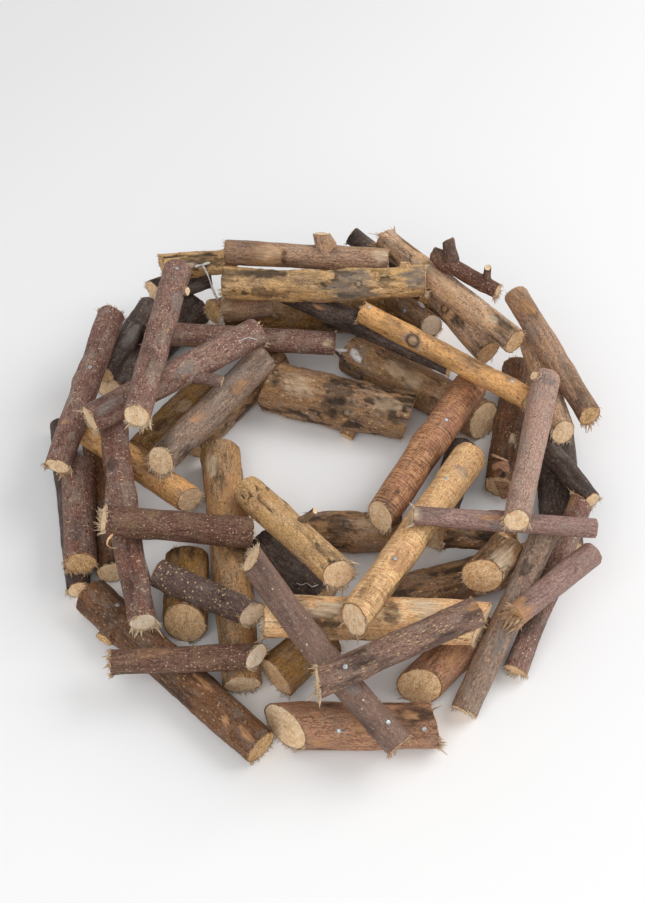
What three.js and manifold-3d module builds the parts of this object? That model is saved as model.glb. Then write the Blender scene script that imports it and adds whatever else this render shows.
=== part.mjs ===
// A wooden wreath base: sawn branch pieces with their bark on, nailed together in layers round an open middle.
// Millimetres, +Z up, standing on z = 0. Seen from the front, +X is to the right and +Y away from the viewer.
// It measures about 415 mm from side to side, 457 mm from front to back and 107 mm in height, with an opening of
// about 150 by 85 mm.

import * as THREE from "three";
import Module from "manifold-3d";
import { mergeVertices } from "three/addons/utils/BufferGeometryUtils.js";

const wasm = await Module();
wasm.setup();

// Driving dimensions
const SIDES = 12; // faces round a piece
const SECTIONS = 6; // lengths between its rings of corners
const SEAT_GAP = 0.3; // clear space left where one piece lies on another
const RASPED = 0.8; // wood taken off the underside of the logs that stand on the table
const TABLE = 600; // width of the block that stands for the table when they are rasped
const NAIL_HEAD = 3.4; // diameter of the wire nails' heads
const NAIL_PROUD = 0.5; // how far a head stands out of the bark
const NAIL_SUNK = 4; // how deep its shank is modelled, inside the wood
const OVAL = 0.03; // the greatest share by which a piece is oval
const DENTS = 0.02; // and by which it has hollow sides
const WAVES = 0.02; // and by which it is thicker and thinner along its length

// Bark colours
const BARKS = {
  hazel: { color: "#5f4640", roughness: 0.75 },
  russet: { color: "#60402f", roughness: 0.8 },
  tan: { color: "#85684a", roughness: 0.8 },
  olive: { color: "#5f4f30", roughness: 0.8 },
  cherry: { color: "#8d5a36", roughness: 0.65 },
  ochre: { color: "#a98150", roughness: 0.7 },
  grey: { color: "#6b5c52", roughness: 0.85 },
  dark: { color: "#3d2f29", roughness: 0.85 },
};

// The pieces in the order in which they are laid. "from" and "to" are the two ends of the middle line in plan, "rise"
// is how much higher the second end lies, and "thick" is the thickness at each end. "bow" bends the middle sideways
// and upwards, "cuts" slants the two sawn faces in degrees, sideways and upwards, and "turn" is an angle round the
// piece, 0 on its left side and 90 on top. A share runs from 0 at the first end to 1 at the second.
const LOGS_ON_THE_TABLE = [
  { name: "hole_back_log", bark: "tan", from: [-38, 100], to: [67, 71], thick: [42, 38], bow: [-2, 0],
    cuts: [[20, 0], [0, 10]], knots: [{ share: 0.48, turn: 110, high: 2.5, wide: 16 }],
    stubs: [{ share: 0.6, turn: 215, lean: 0, length: 4, thick: 9 }] },
  { name: "hole_back_right_log", bark: "olive", from: [25, 141], to: [125, 69], thick: [31, 29],
    cuts: [[10, 0], [12, -14]] },
  { name: "hole_left_log", bark: "tan", from: [-38, 137], to: [-101, 46], thick: [28, 26], bow: [1, 0] },
  { name: "right_inner_log", bark: "olive", from: [159, 127], to: [133, 7], thick: [25, 23] },
  { name: "hole_right_log", bark: "dark", from: [107, 43], to: [80, -41], thick: [25, 24] },
  { name: "hole_front_log", bark: "tan", from: [-13, -35], to: [57, -37], thick: [27, 27],
    knots: [{ share: 0.4, turn: 70, high: 3, wide: 10 }] },
  { name: "front_inner_log", bark: "dark", from: [-43, -42], to: [0, -93], thick: [24, 24] },
  { name: "left_front_long_log", bark: "tan", from: [-77, 37], to: [-53, -160], thick: [31, 27],
    cuts: [[0, 0], [0, 8]] },
  { name: "front_olive_log", bark: "olive", from: [-31, -155], to: [2, -123], thick: [30, 31] },
  { name: "front_log", bark: "russet", from: [-24, -191], to: [71, -189], thick: [30, 30],
    cuts: [[-38, 22], [-12, 0]], nails: [[0.36, 128], [0.93, 128]] },
  { name: "front_left_log", bark: "russet", from: [-161, -91], to: [-39, -204], thick: [28, 25],
    nails: [[0.16, 75]], stubs: [{ share: 0.2, turn: 175, lean: 0, length: 3, thick: 10 }] },
  { name: "left_front_log", bark: "olive", from: [-94, -113], to: [-96, -59], thick: [29, 30],
    cuts: [[4, 24], [0, 0]] },
  { name: "left_inner_log", bark: "olive", from: [-91, 107], to: [-138, 38], thick: [27, 26] },
  { name: "left_outer_log", bark: "russet", from: [-173, 55], to: [-149, -70], thick: [25, 23] },
  { name: "front_right_cut_log", bark: "russet", from: [64, -161], to: [109, -112], thick: [27, 28],
    cuts: [[-24, 26], [0, 0]] },
  { name: "back_left_log", bark: "dark", from: [-166, 98], to: [-108, 192], thick: [34, 34], bow: [3, 0] },
  { name: "back_log", bark: "olive", from: [-80, 182], to: [94, 183], thick: [36, 34], bow: [4, 0] },
  { name: "right_outer_log", bark: "dark", from: [178, 62], to: [171, -52], thick: [30, 30] },
  { name: "front_right_inner_log", bark: "tan", from: [43, -95], to: [158, -57.3], thick: [28, 27] },
  { name: "left_outer_low_stick", bark: "dark", from: [-203, 69], to: [-171, -83], thick: [19, 18] },
];

const SECOND_LAYER = [
  { name: "front_long_log", bark: "tan", from: [-38, -126], to: [105, -130], rise: -3.5, thick: [28, 28],
    cuts: [[0, 0], [28, 0]], bow: [0, 1], knots: [{ share: 0.57, turn: 95, high: 2, wide: 9 }] },
  { name: "cracked_yellow_stick", bark: "ochre", from: [-54, -14], to: [14, -106], rise: 24, thick: [24, 22],
    cuts: [[0, 0], [10, -16]], stubs: [{ share: 0.5, turn: 55, lean: 30, length: 14, thick: 6 }] },
  { name: "ochre_stick", bark: "ochre", from: [-175, 39], to: [-96, -17], rise: -10, thick: [22, 22],
    cuts: [[0, 0], [18, -10]] },
  { name: "back_left_dark_stick", bark: "dark", from: [-137, 183], to: [-95, 204], rise: 0, thick: [21, 21],
    cuts: [[-18, 0], [0, 0]] },
  { name: "back_left_tan_log", bark: "ochre", from: [-129, 191], to: [-70, 198], rise: -0.5, thick: [21, 21],
    cuts: [[-16, 0], [0, 0]] },
  { name: "grey_stick", bark: "grey", from: [-47, 107], to: [-116, -1], rise: 8.5, thick: [24, 22],
    cuts: [[0, 0], [-6, -20]], nails: [[0.05, 120]] },
  { name: "dark_left_stick", bark: "dark", from: [-140, 170], to: [-169, 94], rise: -0.25, thick: [18, 17] },
  { name: "reddish_stick", bark: "russet", from: [-138, 137], to: [10, 133], rise: -7.25, thick: [19, 19] },
  { name: "short_lined_log", bark: "hazel", from: [-180, 11], to: [-168, -74], rise: -2.25, thick: [24, 23] },
  { name: "left_curved_stick", bark: "hazel", from: [-153, 36], to: [-119, -126], rise: -20.75, thick: [21, 19],
    bow: [-3, 0], cuts: [[0, 0], [0, -8]] },
  { name: "left_outer_stick", bark: "hazel", from: [-165, 138], to: [-189, -6], rise: -10, thick: [20, 18],
    knots: [{ share: 0.44, turn: 200, high: 2, wide: 9 }], nails: [[0.42, 80]] },
  { name: "ash_log", bark: "hazel", from: [-88, 163], to: [-41, 171], rise: 0.25, thick: [21, 18],
    cuts: [[-30, 14], [0, 0]] },
  { name: "back_dark_end_stick", bark: "dark", from: [24, 232], to: [84, 187], rise: -20, thick: [15, 14] },
  { name: "dark_cross_log", bark: "dark", from: [-37, 174], to: [99, 95], rise: -5, thick: [19, 19] },
  { name: "short_brown_stick", bark: "russet", from: [55, 179], to: [87, 147], rise: -2, thick: [18, 17],
    cuts: [[0, 0], [24, -20]], nails: [[0.5, 150]] },
  { name: "knotted_tan_stick", bark: "hazel", from: [95, 177], to: [129, 114], rise: 0, thick: [22, 21],
    stubs: [{ share: 0.12, turn: 120, lean: 0, length: 2, thick: 9 }] },
  { name: "cherry_stick", bark: "cherry", from: [114, 83], to: [41, -40], rise: -4, thick: [25, 23],
    cuts: [[0, 0], [14, -20]], nails: [[0.35, 75]] },
  { name: "right_low_outer_stick", bark: "dark", from: [164, 28], to: [191, -27], rise: 1.25, thick: [16, 16] },
  { name: "right_pale_end_stick", bark: "dark", from: [176, 27], to: [163, 128], rise: -4, thick: [18, 20],
    cuts: [[-8, 20], [0, 0]] },
  { name: "short_tan_log", bark: "tan", from: [84, -48], to: [135, -47], rise: -3, thick: [24, 24],
    nails: [[0.74, 110]] },
  { name: "thick_cut_log", bark: "dark", from: [106, -95], to: [129, -69], rise: 0, thick: [27, 28],
    cuts: [[-22, 22], [0, 0]], knots: [{ share: 0.4, turn: 110, high: 2, wide: 6 }] },
  { name: "right_long_stick", bark: "hazel", from: [183, -32], to: [129, -147], rise: -34.5, thick: [17, 16],
    cuts: [[20, 0], [0, 0]] },
  { name: "right_dark_stick", bark: "hazel", from: [151, -69], to: [93, -176], rise: -50, thick: [17, 17] },
  { name: "long_tan_stick", bark: "tan", from: [51, 214], to: [145, 97], rise: 3, thick: [22, 21] },
  { name: "orange_tan_stick", bark: "cherry", from: [107, 9], to: [20, -147], rise: 28.25, thick: [25, 22],
    cuts: [[0, 0], [20, -14]], nails: [[0.24, 95], [0.72, 80]] },
  { name: "right_outer_stick", bark: "hazel", from: [151, 150], to: [195, 35], rise: -11.5, thick: [19, 18],
    knots: [{ share: 0.45, turn: 160, high: 1.5, wide: 7 }], cuts: [[0, 0], [0, -10]] },
];

const TOP_LAYERS = [
  { name: "dark_twig", bark: "dark", from: [84, 175], to: [136, 138], rise: -4, thick: [12, 12],
    stubs: [{ share: 0.3, turn: 60, lean: -35, length: 12, thick: 9 },
      { share: 0.82, turn: 80, lean: -10, length: 9, thick: 6 }] },
  { name: "left_cross_stick", bark: "hazel", from: [-147, -67], to: [-51, -53], rise: -34, thick: [20, 21] },
  { name: "left_speckled_stick", bark: "hazel", from: [-112, -89], to: [-47, -120], rise: -3.25, thick: [20, 19],
    cuts: [[0, 0], [26, -14]] },
  { name: "front_left_cross_stick", bark: "hazel", from: [-137, -155], to: [-43, -152], rise: 2.5, thick: [17, 17],
    cuts: [[0, 0], [36, -16]] },
  { name: "twig_stick", bark: "hazel", from: [-165, 17], to: [-46, 105], rise: 1, thick: [21, 22],
    stubs: [{ share: 0.52, turn: 195, lean: 45, length: 16, thick: 8 }] },
  { name: "upright_stick", bark: "hazel", from: [-111, 154], to: [-128, 1], rise: 4, thick: [21, 19],
    cuts: [[0, 0], [0, -12]], nails: [[0.07, 80]],
    stubs: [{ share: 0.16, turn: 20, lean: 20, length: 4, thick: 6 }] },
  { name: "reddish_back_stick", bark: "russet", from: [-77, 189], to: [59.5, 176.8], rise: 1, thick: [18, 18],
    stubs: [{ share: 0.64, turn: 55, lean: -20, length: 9, thick: 12 }] },
  { name: "peeled_top_stick", bark: "ochre", from: [-78, 165], to: [80, 154], rise: 12.75, thick: [22, 21],
    bow: [-4, 0], knots: [{ share: 0.62, turn: 240, high: 4, wide: 16 }],
    stubs: [{ share: 0.9, turn: 60, lean: 0, length: 3, thick: 7 }] },
  { name: "yellow_top_stick", bark: "ochre", from: [31, 130], to: [153, 48], rise: -9.5, thick: [18, 17],
    knots: [{ share: 0.31, turn: 110, high: 1.5, wide: 7 }], nails: [[0.03, 90], [0.88, 85]],
    cuts: [[0, 0], [16, -10]] },
  { name: "jutting_purple_stick", bark: "hazel", from: [183, -81], to: [126, -128], rise: -3, thick: [17, 16] },
  { name: "thin_purple_stick", bark: "hazel", from: [60, -69], to: [183, -73], rise: -9, thick: [13, 13] },
  { name: "grey_purple_stick", bark: "hazel", from: [164, 58], to: [127, -81], rise: 13.75, thick: [19, 17],
    cuts: [[0, 0], [-10, -14]], stubs: [{ share: 0.06, turn: 140, lean: 0, length: 2, thick: 7 }] },
  { name: "diagonal_stick", bark: "hazel", from: [-46, -105], to: [48, -212], rise: -47.5, thick: [19, 20],
    bow: [-3, 0], knots: [{ share: 0.52, turn: 90, high: 2, wide: 16 }], nails: [[0.9, 85]],
    cuts: [[-26, 20], [0, 0]] },
  { name: "ridged_bark_stick", bark: "hazel", from: [-3, -189], to: [99, -135], rise: -5.5, thick: [19, 19],
    cuts: [[20, 0], [0, 0]], nails: [[0.15, 105]] },
];

const radians = THREE.MathUtils.degToRad;

// Radius of a piece at a share of its length and an angle round it: tapered, a little out of round, with its knots.
function barkRadius(piece, share, angle) {
  const plain = THREE.MathUtils.lerp(piece.thick[0], piece.thick[1], share) / 2;
  const oval = OVAL * Math.sin(2 * angle + 2.1 * piece.order);
  const dents = DENTS * Math.sin(3 * angle + 4 * share + 1.3 * piece.order);
  const waves = WAVES * Math.sin(7 * share + 3.7 * piece.order);
  let radius = plain * (1 + oval + dents + waves);
  for (const knot of piece.knots ?? []) {
    const along = ((share - knot.share) * piece.length) / knot.wide;
    const facing = Math.max(0, Math.cos(angle - radians(knot.turn)));
    radius += knot.high * Math.exp(-along * along) * facing * facing;
  }
  return radius;
}

// Point of the piece's middle line, which runs along X and may be bowed.
function middleLine(piece, share) {
  const arch = 1 - (2 * share - 1) ** 2;
  const [across, up] = piece.bow ?? [0, 0];
  return new THREE.Vector3((share - 0.5) * piece.length, across * arch, up * arch);
}

// A closed mesh whose corners are shared, with nothing but their places.
function bare(geometry) {
  geometry.deleteAttribute("normal");
  geometry.deleteAttribute("uv");
  return mergeVertices(geometry);
}

function toSolid(geometry) {
  const vertProperties = new Float32Array(geometry.getAttribute("position").array);
  const triVerts = new Uint32Array(geometry.index.array);
  return new wasm.Manifold(new wasm.Mesh({ numProp: 3, vertProperties, triVerts }));
}

function toGeometry(solid) {
  const mesh = solid.getMesh();
  const geometry = new THREE.BufferGeometry();
  geometry.setAttribute("position", new THREE.BufferAttribute(mesh.vertProperties.slice(), 3));
  geometry.setIndex(new THREE.BufferAttribute(mesh.triVerts.slice(), 1));
  return geometry;
}

// The barked wood: a cylinder whose rings of corners follow the middle line and the bark, with slanted sawn ends.
function barkedWood(piece) {
  const geometry = bare(new THREE.CylinderGeometry(1, 1, 1, SIDES, SECTIONS, false, Math.PI / SIDES));
  const corners = geometry.getAttribute("position");
  const [firstCut, lastCut] = piece.cuts ?? [[0, 0], [0, 0]];
  for (let i = 0; i < corners.count; i++) {
    const share = corners.getY(i) + 0.5;
    const angle = Math.atan2(corners.getX(i), corners.getZ(i));
    const isMiddle = Math.hypot(corners.getX(i), corners.getZ(i)) < 0.5;
    const radius = isMiddle ? 0 : barkRadius(piece, share, angle);
    const across = radius * Math.cos(angle);
    const up = radius * Math.sin(angle);
    const cut = share < 0.001 ? firstCut : share > 0.999 ? lastCut : [0, 0];
    const slant = across * Math.tan(radians(cut[0])) + up * Math.tan(radians(cut[1]));
    const middle = middleLine(piece, share);
    corners.setXYZ(i, middle.x + slant, middle.y + across, middle.z + up);
  }
  return geometry;
}

// A peg that ends "length" beyond the bark: a side shoot's stub, rooted on the middle line, or a nail's head.
function peg(piece, { share, turn, lean = 0, length, thick, root }) {
  const radius = barkRadius(piece, share, radians(turn));
  const start = root === undefined ? 0 : radius - root;
  const reach = radius + length - start;
  const geometry = bare(new THREE.CylinderGeometry(thick / 2, thick / 2, reach, 8));
  geometry.translate(0, start + reach / 2, 0);
  const outward = new THREE.Vector3(0, Math.cos(radians(turn)), Math.sin(radians(turn)));
  const direction = outward.clone().multiplyScalar(Math.cos(radians(lean)));
  direction.x = Math.sin(radians(lean));
  const upright = new THREE.Vector3(0, 1, 0);
  geometry.applyQuaternion(new THREE.Quaternion().setFromUnitVectors(upright, direction));
  geometry.translate(...middleLine(piece, share));
  return geometry;
}

function pieceGeometry(piece) {
  const wood = barkedWood(piece);
  const stubs = piece.stubs ?? [];
  const heads = (piece.nails ?? []).map(([share, turn]) => (
    { share, turn, length: NAIL_PROUD, thick: NAIL_HEAD, root: NAIL_SUNK }
  ));
  if (!stubs.length && !heads.length) return wood;
  let solid = toSolid(wood);
  for (const added of [...stubs, ...heads]) solid = solid.add(toSolid(peg(piece, added)));
  return toGeometry(solid);
}

// The turn and place of a piece whose middle lies at a given height.
function placing(piece, height) {
  const matrix = new THREE.Matrix4().makeRotationFromEuler(piece.tilt);
  return matrix.setPosition(piece.middle.x, piece.middle.y, height);
}

// The corners, faces and edges of a placed piece that can be seen from above, or from below for side = -1.
function outside(piece, height, side) {
  const points = piece.geometry.getAttribute("position").clone().applyMatrix4(placing(piece, height)).array;
  const index = piece.geometry.index.array;
  const faces = [];
  const edges = new Map();
  const corners = new Set();
  for (let i = 0; i < index.length; i += 3) {
    const [a, b, c] = [3 * index[i], 3 * index[i + 1], 3 * index[i + 2]];
    const twiceArea =
      (points[b] - points[a]) * (points[c + 1] - points[a + 1]) -
      (points[c] - points[a]) * (points[b + 1] - points[a + 1]);
    if (twiceArea * side < 1e-6) continue;
    faces.push({ a, b, c, twiceArea });
    for (const [p, q] of [[a, b], [b, c], [c, a]]) {
      edges.set(Math.min(p, q) * points.length + Math.max(p, q), [p, q]);
      corners.add(p);
    }
  }
  const box = new THREE.Box2();
  for (const p of corners) box.expandByPoint(new THREE.Vector2(points[p], points[p + 1]));
  return { points, faces, edges: [...edges.values()], corners: [...corners], box };
}

// Height of a face at a place in plan, or null beside the face.
function heightOnFace(points, { a, b, c, twiceArea }, x, y) {
  const [ax, ay, bx, by, cx, cy] = [a, b, c].flatMap((p) => [points[p] - x, points[p + 1] - y]);
  const u = (bx * cy - cx * by) / twiceArea;
  const v = (cx * ay - ax * cy) / twiceArea;
  const w = 1 - u - v;
  if (u < 0 || v < 0 || w < 0) return null;
  return u * points[a + 2] + v * points[b + 2] + w * points[c + 2];
}

// Least height between the underside of the upper piece and the top of the lower one, where they overlap in plan.
function clearHeight(upper, lower) {
  let least = Infinity;
  for (const [one, other, sign] of [[upper, lower, 1], [lower, upper, -1]]) {
    for (const face of other.faces) {
      for (const p of one.corners) {
        const height = heightOnFace(other.points, face, one.points[p], one.points[p + 1]);
        if (height !== null) least = Math.min(least, sign * (one.points[p + 2] - height));
      }
    }
  }
  const P = upper.points;
  const Q = lower.points;
  for (const [a, b] of upper.edges) {
    const dx = P[b] - P[a];
    const dy = P[b + 1] - P[a + 1];
    for (const [c, d] of lower.edges) {
      const ex = Q[d] - Q[c];
      const ey = Q[d + 1] - Q[c + 1];
      const cross = dx * ey - dy * ex;
      if (Math.abs(cross) < 1e-9) continue;
      const gx = Q[c] - P[a];
      const gy = Q[c + 1] - P[a + 1];
      const s = (gx * ey - gy * ex) / cross;
      const t = (gx * dy - gy * dx) / cross;
      if (s < 0 || s > 1 || t < 0 || t > 1) continue;
      const above = P[a + 2] + s * (P[b + 2] - P[a + 2]);
      const below = Q[c + 2] + t * (Q[d + 2] - Q[c + 2]);
      least = Math.min(least, above - below);
    }
  }
  return least;
}

// Lets a piece down, at its own slope, until it lies on the table or on one of the carriers.
function layOn(carriers, piece) {
  const under = outside(piece, 0, -1);
  const lowest = Math.min(...under.corners.map((p) => under.points[p + 2]));
  let height = -RASPED - lowest;
  for (const carrier of carriers) {
    if (!under.box.intersectsBox(carrier.top.box)) continue;
    height = Math.max(height, SEAT_GAP - clearHeight(under, carrier.top));
  }
  piece.middle.z = height;
  piece.top = outside(piece, height, 1);
  piece.reachesTable = height + lowest < 0;
  return piece;
}

// Takes off what is below the table's top, which leaves a small flat under each log that stands on it.
function rasp(piece) {
  const belowTable = bare(new THREE.BoxGeometry(TABLE, TABLE, TABLE));
  belowTable.translate(0, 0, -TABLE / 2);
  belowTable.applyMatrix4(placing(piece, piece.middle.z).invert());
  return toGeometry(toSolid(piece.geometry).subtract(toSolid(belowTable)));
}

function makePiece(row, order) {
  const [firstThick, lastThick] = row.thick;
  const rise = row.rise ?? (lastThick - firstThick) / 2;
  const run = Math.hypot(row.to[0] - row.from[0], row.to[1] - row.from[1]);
  const heading = Math.atan2(row.to[1] - row.from[1], row.to[0] - row.from[0]);
  const piece = { ...row, order, length: Math.hypot(run, rise) };
  piece.tilt = new THREE.Euler(0, -Math.atan2(rise, run), heading, "ZYX");
  piece.middle = new THREE.Vector3((row.from[0] + row.to[0]) / 2, (row.from[1] + row.to[1]) / 2, 0);
  piece.geometry = pieceGeometry(piece);
  return piece;
}

const pile = LOGS_ON_THE_TABLE.map((row, order) => layOn([], makePiece(row, order + 1)));
for (const row of [...SECOND_LAYER, ...TOP_LAYERS]) pile.push(layOn(pile, makePiece(row, pile.length + 1)));

const wreath = new THREE.Group();
for (const piece of pile) {
  const geometry = piece.reachesTable ? rasp(piece) : piece.geometry;
  geometry.computeVertexNormals();
  const mesh = new THREE.Mesh(geometry, new THREE.MeshStandardMaterial(BARKS[piece.bark]));
  mesh.name = piece.name;
  mesh.rotation.copy(piece.tilt);
  mesh.position.copy(piece.middle);
  wreath.add(mesh);
}

// The origin is on the table, under the middle of the whole ring.
const extent = new THREE.Box3().setFromObject(wreath, true);
const centre = extent.getCenter(new THREE.Vector3());
for (const mesh of wreath.children) {
  mesh.position.x -= centre.x;
  mesh.position.y -= centre.y;
}

export default wreath;
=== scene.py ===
"""Dresses the wooden wreath base: bark, sawn ends, knots, side shoots and splinters for every branch piece."""
import math

import bpy
import numpy as np
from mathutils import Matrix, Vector


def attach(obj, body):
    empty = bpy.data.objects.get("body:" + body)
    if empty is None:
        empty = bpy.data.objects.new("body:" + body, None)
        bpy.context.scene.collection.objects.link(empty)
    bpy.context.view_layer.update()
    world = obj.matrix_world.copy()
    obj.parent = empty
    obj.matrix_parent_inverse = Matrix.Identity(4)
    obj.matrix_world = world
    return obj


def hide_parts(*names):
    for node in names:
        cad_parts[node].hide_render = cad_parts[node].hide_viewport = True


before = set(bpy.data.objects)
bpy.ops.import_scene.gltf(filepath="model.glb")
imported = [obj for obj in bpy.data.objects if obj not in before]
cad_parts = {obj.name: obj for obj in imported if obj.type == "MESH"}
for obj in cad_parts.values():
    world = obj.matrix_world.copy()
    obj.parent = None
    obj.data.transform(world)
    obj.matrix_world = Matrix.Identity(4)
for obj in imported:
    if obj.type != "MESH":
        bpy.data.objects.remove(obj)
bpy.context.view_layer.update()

MM = 0.001
TURN = 2 * math.pi


# Colour

def linear(code):
    """An sRGB hex colour as linear numbers and full cover."""
    parts = np.array([int(code[i:i + 2], 16) / 255 for i in (1, 3, 5)])
    value = np.where(parts <= 0.04045, parts / 12.92, ((parts + 0.055) / 1.055) ** 2.4)
    return (*value.tolist(), 1.0)


# Noise and steps, worked on whole arrays

def grain(points, size, seed=0):
    """Smooth noise from -1 to 1: random values at the corners of a grid of that size, blended with a cubic step."""
    cell = np.asarray(points, float) / np.asarray(size, float)
    low = np.floor(cell).astype(np.int64)
    part = cell - low
    part = part * part * (3 - 2 * part)
    total = np.zeros(cell.shape[:-1])
    for corner in np.ndindex(2, 2, 2):
        offset = np.array(corner)
        key = (low + offset) @ np.array([73856093, 19349663, 83492791]) + seed * 26544357
        key = (key ^ (key >> 13)) * 1274126177
        key = (key ^ (key >> 17)) * 668265263
        value = ((key ^ (key >> 16)) & 0xFFFF) / 32767.5 - 1
        total += value * np.prod(np.where(offset, part, 1 - part), axis=-1)
    return total


def step(low, high, value):
    """0 below low, 1 above high, and a cubic step between them."""
    share = np.clip((value - low) / (high - low), 0, 1)
    return share * share * (3 - 2 * share)


def columns(*parts):
    """The parts side by side along a new last axis, each spread to the shape of the largest."""
    return np.stack(np.broadcast_arrays(*parts), -1)


def unit(vector):
    """The vector made one long."""
    vector = np.asarray(vector, float)
    return vector / np.linalg.norm(vector, axis=-1, keepdims=True)


# One mesh made of several closed surfaces

class Skin:
    """Collects surfaces for one mesh, with what the materials read at each corner.

    wood is the place in the straightened stick in millimetres: along it, to its left and upwards.
    place is the share of the radius, the distance from the nearest sawn end in millimetres, and the relief, which the
    materials darken as painted shade where it sinks.
    wear is bare wood, pale wood, grey film and dark stains, each from 0 to 1; the dark one also holds painted shade
    in cracks and in the furrows round knots.
    """

    def __init__(self):
        self.count = 0
        self.points, self.wood, self.place, self.wear_and_shade = [], [], [], []
        self.faces, self.slots = {3: [], 4: []}, {3: [], 4: []}

    def add(self, points, wood, place, wear_and_shade, quads, triangles, quad_slots, triangle_slots):
        """Adds one surface. The faces count its own corners from 0."""
        for kept, new, width in ((self.points, points, 3), (self.wood, wood, 3), (self.place, place, 3),
                                 (self.wear_and_shade, wear_and_shade, 4)):
            kept.append(np.broadcast_to(np.asarray(new, float), (len(points), width)))
        for sides, faces, slots in ((4, quads, quad_slots), (3, triangles, triangle_slots)):
            if len(faces):
                self.faces[sides].append(np.asarray(faces) + self.count)
                self.slots[sides].append(np.broadcast_to(slots, len(faces)))
        self.count += len(points)

    def mesh(self, name, materials):
        """The finished object, at the origin, with smooth faces and its three attributes."""
        quads, triangles = (np.concatenate(self.faces[n]) if self.faces[n] else np.zeros((0, n), int)
                            for n in (4, 3))
        corners = np.concatenate([quads.ravel(), triangles.ravel()])
        starts = np.concatenate([np.arange(len(quads)) * 4, len(quads) * 4 + np.arange(len(triangles)) * 3])
        slots = np.concatenate([*self.slots[4], *self.slots[3]])
        mesh = bpy.data.meshes.new(name)
        mesh.vertices.add(self.count)
        mesh.vertices.foreach_set("co", (np.concatenate(self.points) * MM).ravel())
        mesh.loops.add(len(corners))
        mesh.loops.foreach_set("vertex_index", corners)
        mesh.polygons.add(len(starts))
        mesh.polygons.foreach_set("loop_start", starts)
        mesh.polygons.foreach_set("material_index", slots)
        mesh.polygons.foreach_set("use_smooth", np.ones(len(starts), bool))
        for title, kind, field, data in (("wood", "FLOAT_VECTOR", "vector", self.wood),
                                         ("place", "FLOAT_VECTOR", "vector", self.place),
                                         ("wear_and_shade", "FLOAT_COLOR", "color", self.wear_and_shade)):
            attribute = mesh.attributes.new(title, kind, "POINT")
            attribute.data.foreach_set(field, np.concatenate(data).ravel())
        mesh.update(calc_edges=True)
        mesh.validate()
        for material in materials:
            mesh.materials.append(material)
        piece = bpy.data.objects.new(name, mesh)
        bpy.context.scene.collection.objects.link(piece)
        return piece


def ring_faces(rings, around):
    """Quads between neighbouring rings of corners."""
    ring, side = np.meshgrid(np.arange(rings - 1), np.arange(around), indexing="ij")
    here = ring * around + side
    beside = ring * around + (side + 1) % around
    return columns(here, beside, beside + around, here + around).reshape(-1, 4)


def tube_faces(rings, around):
    """Quads between rings of corners, and the two fans that close them on the corners after the last ring."""
    side = np.arange(around)
    beside = (side + 1) % around
    last_ring = (rings - 1) * around
    first = columns(rings * around, beside, side)
    last = columns(rings * around + 1, last_ring + side, last_ring + beside)
    return ring_faces(rings, around), np.concatenate([first, last])


# A piece of wood, worked out from its CAD solid

class Wood:
    """A piece of wood in its own directions, in millimetres.

    A point is given by its place along the axis and its angle round it, 0 on the left and a quarter turn on top.
    The middle line is bent by two parabolas, the radius is a table over stations and the first few harmonics of
    the angle, and the two sawn ends are planes.
    """

    def __init__(self, origin, axis):
        self.origin = np.asarray(origin, float)
        self.axis = unit(axis)
        self.left = unit(np.cross([0, 0, 1.0], self.axis)) if abs(self.axis[2]) < 0.98 else np.array([0, 1.0, 0])
        self.up = np.cross(self.axis, self.left)
        self.ways = np.stack([self.axis, self.left, self.up])
        self.bend = np.zeros((3, 2))

    def middle(self, along):
        """Point of the middle line: the axis, moved sideways and upwards by a parabola."""
        along = np.asarray(along, float)
        aside = columns(along * along, along, 1.0) @ self.bend
        return columns(along, aside[..., 0], aside[..., 1])

    def radius(self, along, angle):
        """Radius of the bark before its relief."""
        waves = [np.interp(along, self.stations, column) for column in self.table.T]
        total = waves[0]
        for order in (1, 2, 3):
            total = total + waves[2 * order - 1] * np.cos(order * angle) + waves[2 * order] * np.sin(order * angle)
        return total

    def sawn(self, end, angle):
        """Where the sawn plane at one end crosses the line along the bark at that angle."""
        point, normal = self.planes[end]
        along = np.full_like(angle, point[0])
        for _ in range(3):
            middle = self.middle(along)
            radius = self.radius(along, angle)
            left = middle[..., 1] + radius * np.cos(angle)
            up = middle[..., 2] + radius * np.sin(angle)
            along = point[0] - ((left - point[1]) * normal[1] + (up - point[2]) * normal[2]) / normal[0]
        return along

    def at(self, share):
        """Place along the axis at a share of the length between the sawn ends."""
        return self.start + share * self.length

    def turned(self, local):
        """Points given along, left and up as points of the shared frame."""
        return self.origin + local @ self.ways

    def local(self, points):
        """Points of the shared frame as along, left and up."""
        return (points - self.origin) @ self.ways.T

    def outward(self, angle):
        """The direction from the axis at that angle round it."""
        return math.cos(angle) * self.left + math.sin(angle) * self.up


def solid_of(node):
    """Corners in millimetres and triangles of a CAD node."""
    mesh = node.data
    points = np.empty(len(mesh.vertices) * 3)
    mesh.vertices.foreach_get("co", points)
    faces = np.empty(len(mesh.loops), dtype=np.int32)
    mesh.loops.foreach_get("vertex_index", faces)
    return points.reshape(-1, 3) / MM, faces.reshape(-1, 3)


STATIONS = 11           # cuts across a piece at which its outline is read
HARMONICS = 7           # numbers kept of each outline: the radius and three waves round it
OUTLINE_CORNERS = 48
CLEAR_ENDS = 0.22       # share of the length at each end where the slanted ends may spoil a cut
LARGEST_RADIUS = 16     # millimetres, for how far a slanted end can reach past its middle
ROUNDER = 1.012         # a round stick's radius over that of the flat-sided solid


def cut_across(local, faces, along):
    """Points where the plane at that place along the axis cuts the faces' edges, left and up of the axis."""
    start = local[faces]
    end = local[np.roll(faces, -1, axis=1)]
    before, after = start[..., 0] - along, end[..., 0] - along
    crossing = before * after < 0
    share = before[crossing] / (before[crossing] - after[crossing])
    return start[crossing][:, 1:] + (end[crossing] - start[crossing])[:, 1:] * share[:, None]


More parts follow.
